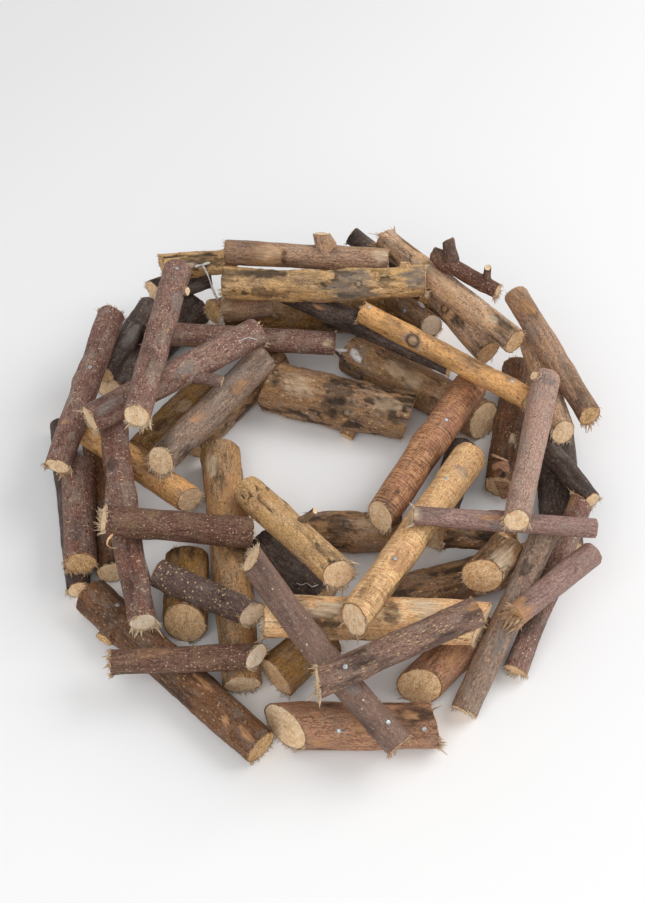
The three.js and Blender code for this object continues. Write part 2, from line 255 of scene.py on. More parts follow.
def outline_round(points):
    """Middle and harmonics of a cut's outline. What stands out more than a tenth, a stub or a nail, is left out."""
    middle = points.mean(axis=0)
    angles = np.linspace(-math.pi, math.pi, OUTLINE_CORNERS, endpoint=False)
    for _ in range(4):
        offset = points - middle
        angle = np.arctan2(offset[:, 1], offset[:, 0])
        order = np.argsort(angle)
        radius = np.interp(angles, angle[order], np.hypot(*offset.T)[order], period=TURN)
        radius = np.minimum(radius, np.median(radius) * 1.1)
        middle = middle + 2 * np.array([np.mean(radius * np.cos(angles)), np.mean(radius * np.sin(angles))])
    waves = [radius.mean() * ROUNDER]
    for order in (1, 2, 3):
        waves += [2 * np.mean(radius * np.cos(order * angles)), 2 * np.mean(radius * np.sin(order * angles))]
    return middle, waves


def wood_of(node):
    """Reads a branch piece's middle line, thickness and sawn planes from its CAD solid, so that it stays in place.

    The axis starts as the direction in which the corners spread most, and is then laid through the middles of the
    cuts across it. It points to the viewer's right, or towards the viewer if the piece runs nearly that way.
    """
    points, faces = solid_of(node)
    origin = (points.min(axis=0) + points.max(axis=0)) / 2
    spread = np.linalg.svd(points - points.mean(axis=0), full_matrices=False)[2][0]
    if spread @ [1, -0.35, 0] < 0:
        spread = -spread
    for _ in range(3):
        wood = Wood(origin, spread)
        local = wood.local(points)
        low, high = local[:, 0].min(), local[:, 0].max()
        clear = CLEAR_ENDS * (high - low)
        stations = np.linspace(low + clear, high - clear, STATIONS)
        middles = np.array([outline_round(cut_across(local, faces, along))[0] for along in stations])
        slope, shift = np.polyfit(stations, middles, 1) @ wood.ways[1:]
        spread = wood.axis + slope
        origin = origin + shift
    wood = Wood(origin, spread)
    local = wood.local(points)
    corners = local[faces]
    normal = np.cross(corners[:, 1] - corners[:, 0], corners[:, 2] - corners[:, 0])
    area = np.linalg.norm(normal, axis=1) + 1e-9
    centre = corners.mean(axis=1)
    near = np.hypot(*centre[:, 1:].T) <= 0.75 * np.hypot(*local[:, 1:].T).max()
    wood.planes, reach = [], []
    for sign in (-1, 1):            # a sawn face's triangles look along the axis and lie near it, at that end
        face = (normal[:, 0] / area * sign > 0.6) & near & (centre[:, 0] * sign > 0)
        point = (centre[face] * area[face][:, None]).sum(axis=0) / area[face].sum()
        tilt = unit(normal[face].sum(axis=0))
        wood.planes.append((point, tilt))
        reach.append(point[0] - sign * (math.hypot(tilt[1], tilt[2]) / abs(tilt[0]) * LARGEST_RADIUS + 0.6))
    wood.stations = np.linspace(*reach, STATIONS)
    outlines = [outline_round(cut_across(local, faces, along)) for along in wood.stations]
    wood.bend = np.polyfit(wood.stations, np.array([middle for middle, _ in outlines]), 2)
    wood.table = np.array([waves for _, waves in outlines])
    wood.table[:, 1:3] = 0          # the first wave, which the bent middle line already has
    wood.start = wood.planes[0][0][0]
    wood.length = wood.planes[1][0][0] - wood.start
    return wood


def shoot_of(wood, share, turn, lean, length, thick):
    """A side shoot's stub: a short round piece that grows out of the middle line, flared where it leaves the bark."""
    angle, lean = math.radians(turn), math.radians(lean)
    along = wood.at(share)
    direction = math.cos(lean) * wood.outward(angle) + math.sin(lean) * wood.axis
    shoot = Wood(wood.turned(wood.middle(along)), direction)
    skin = float(wood.radius(along, angle)) / math.cos(lean)
    tip = skin + length
    shoot.start, shoot.length = 0.3 * skin, tip - 0.3 * skin
    shoot.stations = np.linspace(shoot.start, tip, STATIONS)
    flare = 1 + 0.4 * np.exp(-np.clip(shoot.stations - skin, 0, None) / (0.3 * thick))
    shoot.table = np.zeros((STATIONS, HARMONICS))
    shoot.table[:, 0] = thick / 2 * np.where(shoot.stations < skin, flare.max(), flare)
    shoot.table[:, 3] = 0.04 * thick
    cut = unit(np.array([1, 0.25 * math.sin(7 * share), 0.25 * math.cos(9 * share)]))
    shoot.planes = [(np.array([shoot.start, 0, 0]), np.array([-1.0, 0, 0])), (np.array([tip, 0, 0]), cut)]
    return shoot


# What the bark and the sawn ends look like close up

# The rings of a sawn face, as shares of its rim's radius, and the bark's first ones, in millimetres from the cut
FACE_RINGS = np.array([0.985, 0.955, 0.91, 0.84, 0.73, 0.6, 0.46, 0.31, 0.15])
RIM_STEPS = np.array([0, 0.35, 0.9, 1.8])
GRID_AROUND, GRID_ALONG = 1.2, 1.5      # millimetres between the bark's corners
FLOOR_GAP = 0.02        # millimetres, and nothing lies lower
APART = 173.0           # how far the noise of two pieces lies apart
BARE, PALE, DARK = 0, 1, 3              # their places in a corner's wear, which has grey film at 2
NO_CUT_NEAR = (1, 9, 0)                 # place of what is far from a sawn end
KNUCKLE_SEED, SPLIT_SEED, FRAY_SEED = 500, 900, 300


def spot(wood, along, angle, share, turn, length, width):
    """How far a point of the bark is from a spot, 1 on the edge of an oval of that half length and half width."""
    apart = (angle - math.radians(turn) + math.pi) % TURN - math.pi
    ahead = along - wood.at(share)
    return np.hypot(ahead / length, apart * wood.table[:, 0].mean() / width)


# How deep each kind of worn place lies in millimetres, and how much of it is bare, pale, grey and dark
WORN = {"bare": (0.25, (0.9, 0, 0, 0)), "pale": (0.4, (0, 0.95, 0, 0)), "grey": (-0.1, (0, 0, 0.9, 0)),
        "dark": (0, (0, 0, 0, 0.8)), "greydark": (-0.2, (0, 0, 1, 0.3)), "olive": (0.1, (0.35, 0, 0, 0)),
        "light": (0.1, (0.1, 0.45, 0, 0)), "dusk": (0, (0, 0, 0.15, 0.4))}


def raise_wear_and_shade(wear_and_shade, kind, share):
    """Raises one colour channel of a corner to the share where that is more than what is there; the dark channel also
    carries painted shade.
    """
    wear_and_shade[..., kind] = np.maximum(wear_and_shade[..., kind], share)


def bark_relief(wood, points, along, angle, look, seed):
    """Height of the bark over the plain radius, in millimetres, and the four channels of bare, pale, grey and dark
    colour, the dark one also holding painted shade in the cracks and in the furrows round knots.

    Lengthwise ridges and small lumps are noise stretched along the stick. Flakes are noise cut into steps, and cracks
    are narrow valleys where stretched noise passes 0. A knot is a round swelling with a furrow round its eye.
    """
    high = look["swells"] * grain(points, (30, 14, 14), seed)
    high = high + look["ridges"] * grain(points, (15, 2.6, 2.6), seed + 1)
    rng = np.random.default_rng(KNUCKLE_SEED + seed)
    for _ in range(look["knuckles"]):
        away = spot(wood, along, angle, rng.uniform(0.12, 0.88), rng.uniform(0, 360), 6, rng.uniform(4, 9))
        high = high + rng.uniform(0.5, 1.1) * np.exp(-away * away)
    high = high + look["lumps"] * grain(points, (4.5, 3.2, 3.2), seed + 2)
    if look["flakes"]:
        layer = grain(points, (16, 7, 7), seed + 3) + 0.35 * grain(points, (4, 2.5, 2.5), seed + 4)
        high = high + look["flakes"] * (step(-0.32, -0.22, layer) + step(0.18, 0.28, layer) - 1)
    wear_and_shade = np.zeros((*along.shape, 4))
    if look["cracks"]:
        valley = np.abs(grain(points, (30, 4.2, 4.2), seed + 5))
        crack = step(0.075, 0.02, valley) * step(-0.1, 0.3, grain(points, (18, 9, 9), seed + 6))
        high = high - 0.8 * look["cracks"] * crack
        # Painted shade: the crack's valley is darkened as well as sunk.
        raise_wear_and_shade(wear_and_shade, DARK, 0.5 * crack)
    ragged = 0.4 * grain(points, (7, 3, 3), seed + 7) + 0.4 * grain(points, (4, 1.2, 1.2), seed + 8)
    patchy = 0.75 + 0.45 * grain(points, (5, 1.8, 1.8), seed + 12)
    for kind, share, turn, length, width in look["marks"]:
        away = spot(wood, along, angle, share, turn, length, width)
        inside = step(1.2, 0.75, away + ragged) * np.clip(patchy, 0, 1)
        if kind == "knot":
            high = high + 0.16 * width * np.exp(-away * away) - 0.1 * width * np.exp(-((away - 0.62) / 0.16) ** 2)
            # Painted shade: the furrow round the eye is darkened as well as sunk.
            raise_wear_and_shade(wear_and_shade, DARK, 0.9 * np.exp(-((away - 0.62) / 0.2) ** 2))
            raise_wear_and_shade(wear_and_shade, PALE, 0.35 * step(0.62, 0.5, away))
        elif kind == "swell":
            high = high + 0.3 * width * np.exp(-away * away)
        elif kind == "scar":
            high = high + 0.14 * width * np.exp(-away * away)
            raise_wear_and_shade(wear_and_shade, DARK, 0.6 * inside * step(-0.3, 0.2, grain(points, 1.6, seed + 13)))
            raise_wear_and_shade(wear_and_shade, BARE, 0.4 * step(0.6, 0.2, away))
        else:
            depth, kinds = WORN[kind]
            high = high - depth * inside
            wear_and_shade = np.maximum(wear_and_shade, inside[..., None] * kinds)
    return high, wear_and_shade


def add_wood(skin, wood, look, seed):
    """Adds one closed piece of wood: a face, the bark from end to end, and the other face, as one grid of rings.

    A ring of the bark runs at an equal share between the two sawn planes. A ring of a face lies on its plane at a
    share of the rim's radius, with lengthways noise for the saw's tooth marks and radial valleys for drying cracks.
    """
    girth = TURN * wood.table[:, 0].mean()
    around = int(np.clip(girth / GRID_AROUND, 20, 80))
    angle = np.arange(around) / around * TURN
    tear = 0.35 * grain(columns(seed * 31.0, 3 * np.cos(angle), 3 * np.sin(angle)), 0.8, seed)
    first, last = wood.sawn(0, angle) - tear, wood.sawn(1, angle) + tear
    shares = np.linspace(0, 1, int(np.clip(wood.length / GRID_ALONG, 8, 118)))
    along = first + (last - first) * shares[:, None]
    for ring, gap in enumerate(RIM_STEPS):
        along[ring] = first + gap
        along[-1 - ring] = last - gap
    along = np.sort(along, axis=0)
    margin = np.minimum(along - first, last - along)
    angles = np.broadcast_to(angle, along.shape)
    radius = wood.radius(along, angles)
    plain = columns(along + APART * seed, radius * np.cos(angles), radius * np.sin(angles))
    high, wear_and_shade = bark_relief(wood, plain, along, angles, look, seed)
    chipped = step(0.1, 0.6, grain(plain, 3, seed + 9))
    high = high - 0.35 * np.exp(-margin / 0.5) - 0.5 * np.exp(-margin / 1.6) * chipped
    out = radius + high
    left, up = out * np.cos(angles), out * np.sin(angles)
    rims = wood.middle(along) + columns(0.0, left, up)
    layers = [(rims, columns(along + APART * seed, left, up), columns(1.0, margin, high), wear_and_shade,
               np.zeros(len(along) - 1, int))]
    rng = np.random.default_rng(SPLIT_SEED + seed)
    share = FACE_RINGS[:, None]
    for end in (0, 1):
        centre = wood.middle(wood.planes[end][0][0])
        flat = centre + (rims[-end] - centre) * share[..., None]
        saw = rng.uniform(0, math.pi)
        across = flat[..., 1] * math.cos(saw) + flat[..., 2] * math.sin(saw)
        depth = 0.25 * grain(flat * [0, 1, 1] + seed * 7.0, 5, seed + 10) + 0.1 * np.sin(across / 1.1 * TURN / 2)
        for _ in range(look["splits"]):
            turn = rng.uniform(0, TURN)
            apart = np.abs((angle - turn + math.pi) % TURN - math.pi) * share * girth / TURN
            reach = rng.uniform(0.45, 0.95)
            valley = np.exp(-(apart / 0.45) ** 2) * step(reach, reach - 0.3, share) * step(0.02, 0.2, share)
            depth = depth - 0.6 * valley
        depth = depth + 0.14 * step(0.97, 0.9, share) - 0.3 * step(0.16, 0.0, share)
        flat[..., 0] += depth if end else -depth
        flat_wood = flat - wood.middle(np.full(flat.shape[:-1], centre[0]))
        flat_wood[..., 0] = flat[..., 0] + APART * seed
        keep = slice(None) if end else slice(None, None, -1)
        layer = (flat[keep], flat_wood[keep], columns(share, 0.0, depth)[keep], np.zeros((*depth.shape, 4)),
                 np.full(len(FACE_RINGS), end + 1))
        layers = [*layers, layer] if end else [layer, *layers]
    grid, woods, places, wears_and_shades, slots = (np.concatenate(part) for part in zip(*layers))
    points = wood.turned(np.concatenate([grid.reshape(-1, 3), grid[[0, -1]].mean(axis=1)]))
    points[:, 2] = np.maximum(points[:, 2], FLOOR_GAP)
    quads, triangles = tube_faces(len(grid), around)
    skin.add(points, np.concatenate([woods.reshape(-1, 3), woods[[0, -1]].mean(axis=1)]),
             np.concatenate([places.reshape(-1, 3), [[0, 0, -0.3]] * 2]),
             np.concatenate([wears_and_shades.reshape(-1, 4), np.zeros((2, 4))]),
             quads, triangles, np.repeat(slots, around), np.repeat([1, 2], around))


SLIVER_SIDES = 4
SLIVER_RINGS = 4
HIGHEST_FIBRE = 109.5   # millimetres


def add_slivers(skin, roots, directions, falls, lengths, widths, wear_and_shade, seed):
    """Adds splinters and torn fibres: thin four-sided strips from root to tip.

    Each follows its direction for its length, falls away with the square of the way along, and narrows to its tip.
    """
    count = len(roots)
    way = np.linspace(0, 1, SLIVER_RINGS)[None, :, None]
    path = roots[:, None] + unit(directions)[:, None] * way * lengths[:, None, None] + falls[:, None] * way ** 2
    heading = unit(np.gradient(path, axis=1))
    flat = unit(np.cross(heading, np.array([0.31, 0.23, 0.92])))
    wide = widths[:, None, None] * (1 - 0.82 * way ** 1.5) / 2
    broad, thin = flat * wide, np.cross(heading, flat) * wide * 0.4
    points = np.stack([path + broad, path + thin, path - broad, path - thin], 2).reshape(-1, 3)
    each = SLIVER_RINGS * SLIVER_SIDES
    ends = [[3, 2, 1, 0], [each - 4, each - 3, each - 2, each - 1]]
    quads = np.concatenate([ring_faces(SLIVER_RINGS, SLIVER_SIDES), ends])
    quads = (quads[None] + np.arange(count)[:, None, None] * each).reshape(-1, 4)
    grown = points + seed * 11.0
    points[:, 2] = np.clip(points[:, 2], FLOOR_GAP, HIGHEST_FIBRE)
    skin.add(points, grown, NO_CUT_NEAR, wear_and_shade, quads, (), 0, 0)


FIBRES = 160            # fibres at an end whose amount is 1
TUFTS = 14              # the tufts that they hang in
LOW_TUFTS = 10          # how many of these hang near the underside
STRIP_SHARE = 0.06      # how many of the fibres at a ragged end are long, broad strips
BROKEN = 3.0            # from this amount on, the end is broken and not sawn
FIBRE_WEAR = {"pale": (0, 1, 0, 0), "bare": (0.8, 0.45, 0, 0)}


def add_frays(skin, wood, look, seed):
    """Adds the torn fibres that the saw left hanging from the rims of the sawn ends, most of them at the underside.

    At the raggedest ends some are long, broad strips. A broken end has them all over its face.
    """
    rng = np.random.default_rng(FRAY_SEED + seed)
    for end, (amount, kind) in enumerate(look["frays"]):
        count = int(FIBRES * amount)
        if not count:
            continue
        tufts = rng.uniform(0, TURN, TUFTS)
        tufts[:LOW_TUFTS] = rng.normal(-math.pi / 2, 0.9, LOW_TUFTS)
        which = rng.integers(0, TUFTS, count)
        angle = tufts[which] + rng.normal(0, 0.14, count)
        along = wood.sawn(end, angle)
        sign = 1 if end else -1
        broken = amount >= BROKEN
        radius = wood.radius(along, angle) * rng.uniform(0.1 if broken else 0.8, 0.99, count)
        left, up = np.cos(angle), np.sin(angle)
        root = wood.middle(along) + columns(-0.9 * sign, radius * left, radius * up)
        lie = rng.uniform(0.1, 0.8, TUFTS)[which] + rng.normal(0, 0.15, count)
        swirl = rng.normal(0, 0.5, TUFTS)[which] + rng.normal(0, 0.35, count)
        ahead = sign * rng.uniform(0.5, 1.1, count)
        direction = columns(ahead, lie * left - swirl * up, lie * up + swirl * left) @ wood.ways
        lengths = (rng.gamma(2.0, 0.5, TUFTS)[which] + rng.gamma(1.5, 0.4, count)).clip(0.3, 5) + 1.3
        widths = rng.uniform(0.5, 1.3, count)
        falls = columns(*(rng.normal(drop, 0.6, count) for drop in (0, 0, -0.7)))
        if broken:
            lengths, widths, falls = 1.3 * lengths, 1.7 * widths, 0.4 * falls
        strips = rng.random(count) < STRIP_SHARE * step(0.7, 1.2, amount)
        lengths, widths = np.where(strips, 1.9 * lengths + 2, lengths), np.where(strips, 1.9 * widths, widths)
        add_slivers(skin, wood.turned(root), direction, falls, lengths, widths, FIBRE_WEAR[kind], seed)


# From the head's underside to its middle, each the share of its radius and the height over the bark in millimetres
NAIL_WAY = np.array([(0.55, -1.2), (1.0, -0.5), (1.0, 0.28), (0.93, 0.42), (0.7, 0.5), (0.3, 0.55)])
NAIL_SIDES = 18
NAIL_RADIUS = 1.5
NAIL_SLOT = 3           # after the bark and the two sawn faces


def add_nail(skin, wood, share, turn):
    """Adds a wire nail's head: a flat, slightly domed disc turned from a profile of radius share and height."""
    angle = math.radians(turn)
    along = wood.at(share)
    outward = unit(wood.outward(angle) + 0.12 * math.sin(5 * share + turn) * wood.axis)
    centre = wood.turned(wood.middle(along)) + (float(wood.radius(along, angle)) + 0.1) * wood.outward(angle)
    side = unit(np.cross(outward, wood.axis))
    other = np.cross(outward, side)
    spin = np.arange(NAIL_SIDES) / NAIL_SIDES * TURN
    ring = np.cos(spin)[:, None] * side + np.sin(spin)[:, None] * other
    points = centre + NAIL_RADIUS * NAIL_WAY[:, :1, None] * ring + NAIL_WAY[:, 1:, None] * outward
    poles = [centre - 1.2 * outward, centre + 0.56 * outward]
    quads, triangles = tube_faces(len(NAIL_WAY), NAIL_SIDES)
    if np.linalg.det(np.stack([side, other, outward])) < 0:
        quads, triangles = quads[:, ::-1], triangles[:, ::-1]
    skin.add(np.concatenate([points.reshape(-1, 3), poles]), (0, 0, 0), NO_CUT_NEAR, (0, 0, 0, 0),
             quads, triangles, NAIL_SLOT, NAIL_SLOT)


# Materials

def add(tree, kind, inputs=None, stops=(), **settings):
    """Adds one shader node with its settings and links.

    An input is a number, a colour, a node, whose first output it takes, or an output. Stops are a colour ramp's
    places and sRGB colours.
    """
    node = tree.nodes.new("ShaderNode" + kind)
    for name, value in settings.items():
        setattr(node, name, value)
    for socket, value in (inputs or {}).items():
        if isinstance(value, bpy.types.Node):
            value = value.outputs[0]
        if isinstance(value, bpy.types.NodeSocket):
            tree.links.new(value, node.inputs[socket])
        else:
            node.inputs[socket].default_value = value
    for count, (position, code) in enumerate(stops):
        if count > 1:
            node.color_ramp.elements.new(position)
        node.color_ramp.elements[count].position = position
        node.color_ramp.elements[count].color = linear(code)
    return node


def new_material(name):
    """An empty material and its node tree."""
    material = bpy.data.materials.new(name)
    material.use_nodes = True
    tree = material.node_tree
    tree.nodes.clear()
    return material, tree


SOFT_EDGE = 0.09        # how wide a dot's edge is, as a share of its cell


def grains(tree, where, table):
    """Noises on the straightened stick, by title. A row has the size of their features in millimetres, and detail."""
    found = {}
    for title, size, detail, roughness in table:
        scaled = add(tree, "Mapping", {"Vector": where, "Scale": tuple(1 / length for length in size)})
        found[title] = add(tree, "TexNoise", {"Vector": scaled, "Scale": 1.0, "Detail": detail,
                                              "Roughness": roughness})
    return found


def specks(tree, where, size, cover, largest=0.3):
    """Dots: ovals of many sizes in some of the cells of a grid of that many millimetres, 1 in a dot and 0 outside.

    The largest reach that share of a cell from their middle.
    """
    scaled = add(tree, "Mapping", {"Vector": where, "Scale": tuple(1 / length for length in size)})
    cells = add(tree, "TexVoronoi", {"Vector": scaled, "Scale": 1.0, "Randomness": 1.0})
    chance = add(tree, "SeparateColor", {"Color": cells.outputs["Color"]})
    reach = add(tree, "MapRange", {"Value": chance, "From Min": 1 - cover, "From Max": 1 - 0.6 * cover,
                                   "To Min": 0.0, "To Max": largest})
    within = add(tree, "Math", {0: reach, 1: cells.outputs["Distance"]}, operation="SUBTRACT")
    return add(tree, "MapRange", {"Value": within, "From Min": 0.0, "From Max": SOFT_EDGE})


def painted(tree, colour, layers):
    """Lays colours over one another. Each comes in, up to its share, as its value passes from limit to limit."""
    for value, none, full, share, tint in layers:
        amount = add(tree, "MapRange", {"Value": value, "From Min": none, "From Max": full, "To Min": 0.0,
                                        "To Max": share})
        tint = linear(tint) if isinstance(tint, str) else tint
        colour = add(tree, "MixRGB", {"Fac": amount, "Color1": colour, "Color2": tint})
    return colour


def finished(material, tree, colour, roughness, height, strength, distance, more):
    """Joins a colour, a roughness, a height and the shader's other inputs to the surface."""
    surface = add(tree, "Bump", {"Height": height, "Strength": strength, "Distance": distance})
    shader = add(tree, "BsdfPrincipled", {"Base Color": colour, "Roughness": roughness, "Normal": surface, **more})
    add(tree, "OutputMaterial", {"Surface": shader})
    return material


DULL = {"Specular IOR Level": 0.3}      # dry bark and sawn wood shine less than the shader's default


BARK_GRAINS = (("streak", (16, 2.2, 2.2), 6.0, 0.62), ("fine", (2.0, 0.9, 0.9), 5.0, 0.7),
               ("cloud", (26, 13, 13), 3.0, 0.5), ("band", (0.8, 12, 12), 4.0, 0.65), ("patch", (14, 9, 9), 6.0, 0.7),
               ("thread", (9, 0.8, 0.8), 5.0, 0.7), ("rag", (1.4, 2.4, 2.4), 3.0, 0.5),
               ("pit", (3.4, 1.3, 1.3), 4.0, 0.75))


def bark(name, tones, blush, dots, dot_size, cover, largest=0.3, film="#8d857c", film_share=0.25, fibres=0.5,
         bands=0.0, gloss=0.62, contrast=0.75):
    """Bark: tones from furrow to ridge along the fibres, a second hue in large clouds, dots of cork, a grey film in
    places, fine cross bands where it is smooth, and bare, pale, grey or stained wood where the stick is worn. Painted
    shade darkens the bark where its relief sinks and in the cracks and knot furrows, and the fine grain is darker in
    the bump's hollows and lighter on its crests, partly its own tone and partly painted shade and painted light."""
    material, tree = new_material(name)
    where = add(tree, "Attribute", attribute_name="wood").outputs["Vector"]
    place = add(tree, "SeparateXYZ", {0: add(tree, "Attribute", attribute_name="place").outputs["Vector"]})
    # The wear attribute also carries painted shade in its dark channel.
    worn = add(tree, "Attribute", attribute_name="wear_and_shade")
    wear_and_shade = add(tree, "SeparateColor", {"Color": worn})
    of = grains(tree, where, BARK_GRAINS)
    dot = specks(tree, where, dot_size, cover, largest)
    pin = specks(tree, where, (1.5, 1.6, 1.6), 0.5)
    blend = add(tree, "MixRGB", {"Fac": 1 - fibres, "Color1": of["streak"], "Color2": of["fine"]})
    colour = add(tree, "ValToRGB", {"Fac": blend}, zip((0.36, 0.5, 0.64), tones))
    bare_wood, pale_wood, grey_film, stain_and_crevice_shade = (
        add(tree, "ValToRGB", {"Fac": of["thread"]}, zip((0.33, 0.64), pair))
        for pair in (("#94603c", "#cfa273"), ("#b59470", "#e6d3b6"), ("#655d56", "#98908a"), ("#120d0b", "#352721")))
    colour = painted(tree, colour, (
        (of["cloud"], 0.42, 0.62, 0.7, blush),
        # The fine grain also raises the bump, so these two layers darken its hollows and lighten its crests: partly
        # the bark's own tone, partly painted shade and painted light.
        (of["fine"], 0.48, 0.32, contrast, tones[0]),
        (of["fine"], 0.54, 0.68, contrast, tones[2]),
        (of["pit"], 0.44, 0.3, 0.75, "#1d1512"),
        (of["pit"], 0.58, 0.7, 0.5 * contrast, "#d9c4ac"),
        (of["band"], 0.5, 0.66, bands, tones[2]),
        (of["band"], 0.48, 0.36, bands, tones[0]),
        (of["patch"], 0.5, 0.62, film_share, film),
        (pin, 0.0, 1.0, 0.35, dots),
        (dot, 0.0, 1.0, 0.95, dots),
        # Painted shade: the bark goes towards near black where its relief sinks below the plain radius, in furrows,
        # flakes' lower steps, cracks, worn hollows and the chamfer at the sawn ends.
        (place.outputs[2], -0.1, -0.8, 0.8, "#150e0b"),
        (wear_and_shade.outputs[2], 0.0, 1.0, 0.8, grey_film),
        (wear_and_shade.outputs[0], 0.0, 1.0, 1.0, bare_wood),
        (wear_and_shade.outputs[1], 0.0, 1.0, 1.0, pale_wood),
        # Dark stains from the marks, and painted shade in the cracks and the furrows round knots.
        (worn.outputs["Alpha"], 0.0, 1.0, 1.0, stain_and_crevice_shade)))
    near_cut = add(tree, "MapRange", {"Value": place.outputs[1], "From Min": 1.6, "From Max": 0.2})
    torn = add(tree, "Math", {0: near_cut, 1: of["rag"]}, operation="MULTIPLY")
    colour = painted(tree, colour, [(torn, 0.4, 0.55, 0.9, bare_wood)])
    height = add(tree, "Math", {0: of["fine"], 1: 0.6, 2: of["streak"]}, operation="MULTIPLY_ADD")
    height = add(tree, "Math", {0: dot, 1: 0.3, 2: height}, operation="MULTIPLY_ADD")
    rough = add(tree, "MapRange", {"Value": of["fine"], "From Min": 0.3, "From Max": 0.7, "To Min": gloss - 0.08,
                                   "To Max": gloss + 0.16})
    return finished(material, tree, colour, rough, height, 0.8, 0.001, DULL)


FACE_GRAINS = (("wander", (4, 4, 4), 3.0, 0.5), ("coarse", (50, 3.2, 3.2), 4.0, 0.6),
               ("fine", (50, 0.7, 0.7), 4.0, 0.7), ("saw", (50, 0.8, 14), 3.0, 0.6))
RINGS_PER_MM = 0.53


def sawn_face(name, light, dark, pores=0.3, rings=0.35, dots=0.0):
    """A sawn end: year rings that wander a little, pores and saw lines, the inner bark's rim, the pith, and painted
    shade in its drying cracks and hollows.
    """
    material, tree = new_material(name)
    where = add(tree, "Attribute", attribute_name="wood").outputs["Vector"]
    place = add(tree, "SeparateXYZ", {0: add(tree, "Attribute", attribute_name="place").outputs["Vector"]})
    flat = add(tree, "VectorMath", {0: where, 1: (0.0, 1.0, 1.0)}, operation="MULTIPLY")
    reach = add(tree, "VectorMath", {0: flat}, operation="LENGTH").outputs["Value"]
    of = grains(tree, where, FACE_GRAINS)
    ring = add(tree, "Math", {0: of["wander"], 1: 1.6, 2: reach}, operation="MULTIPLY_ADD")
    ring = add(tree, "Math", {0: ring, 1: TURN * RINGS_PER_MM}, operation="MULTIPLY")
    wave = add(tree, "Math", {0: ring}, operation="SINE")
    hole = specks(tree, flat, (50.0, 1.1, 1.1), 0.7)
    colour = add(tree, "ValToRGB", {"Fac": of["coarse"]}, ((0.4, dark), (0.57, light)))
    colour = painted(tree, colour, (
        (wave, -1.0, 1.0, rings, dark),
        (of["fine"], 0.53, 0.64, min(1, 1.6 * pores), "#7a5632"),
        (of["fine"], 0.48, 0.36, 0.85, "#ffecd0"),
        (of["saw"], 0.5, 0.62, 0.55, dark),
        (hole, 0.0, 1.0, dots, "#2c1d12"),
        (place.outputs[0], 0.92, 0.97, 0.85, "#7d5030"),
        (place.outputs[0], 0.975, 0.995, 0.9, "#3a2a22"),
        (place.outputs[0], 0.08, 0.03, 0.6, "#7a583a"),
        # Painted shade: the face darkens where it sinks deepest, in the drying cracks and the dip at the pith.
        (place.outputs[2], -0.4, -0.8, 0.6, "#5a4029")))
    height = add(tree, "Math", {0: of["fine"], 1: 0.8, 2: of["saw"]}, operation="MULTIPLY_ADD")
    return finished(material, tree, colour, 0.85, height, 0.8, 0.0008, DULL)


def wire_nail():
    """Galvanised wire nail: a dull zinc grey head, lightly hammered, that catches a small highlight."""
    material, tree = new_material("galvanised_steel")
    where = add(tree, "TexCoord").outputs["Object"]
    dent = add(tree, "TexNoise", {"Vector": where, "Scale": 900.0, "Detail": 2.0})
    colour = add(tree, "ValToRGB", {"Fac": dent}, ((0.3, "#8b9295"), (0.7, "#c9cfd1")))
    return finished(material, tree, colour, 0.4, dent, 0.3, 0.0003, {"Metallic": 0.6})


def hot_glue():
    """Set hot glue: milky, smooth and a little see-through, with dust in it."""
    material, tree = new_material("set_hot_glue")
    where = add(tree, "Attribute", attribute_name="wood").outputs["Vector"]
    of = grains(tree, where, (("cloud", (3, 3, 3), 3.0, 0.6), ("dust", (0.7, 0.7, 0.7), 3.0, 0.6)))
    colour = add(tree, "ValToRGB", {"Fac": of["cloud"]}, ((0.35, "#b3aaa4"), (0.65, "#e6e2df")))
    colour = painted(tree, colour, [(of["dust"], 0.6, 0.72, 0.5, "#7c6a5c")])
    return finished(material, tree, colour, 0.35, of["cloud"], 0.4, 0.0006,
                    {"Subsurface Weight": 0.3, "Subsurface Scale": 0.002})


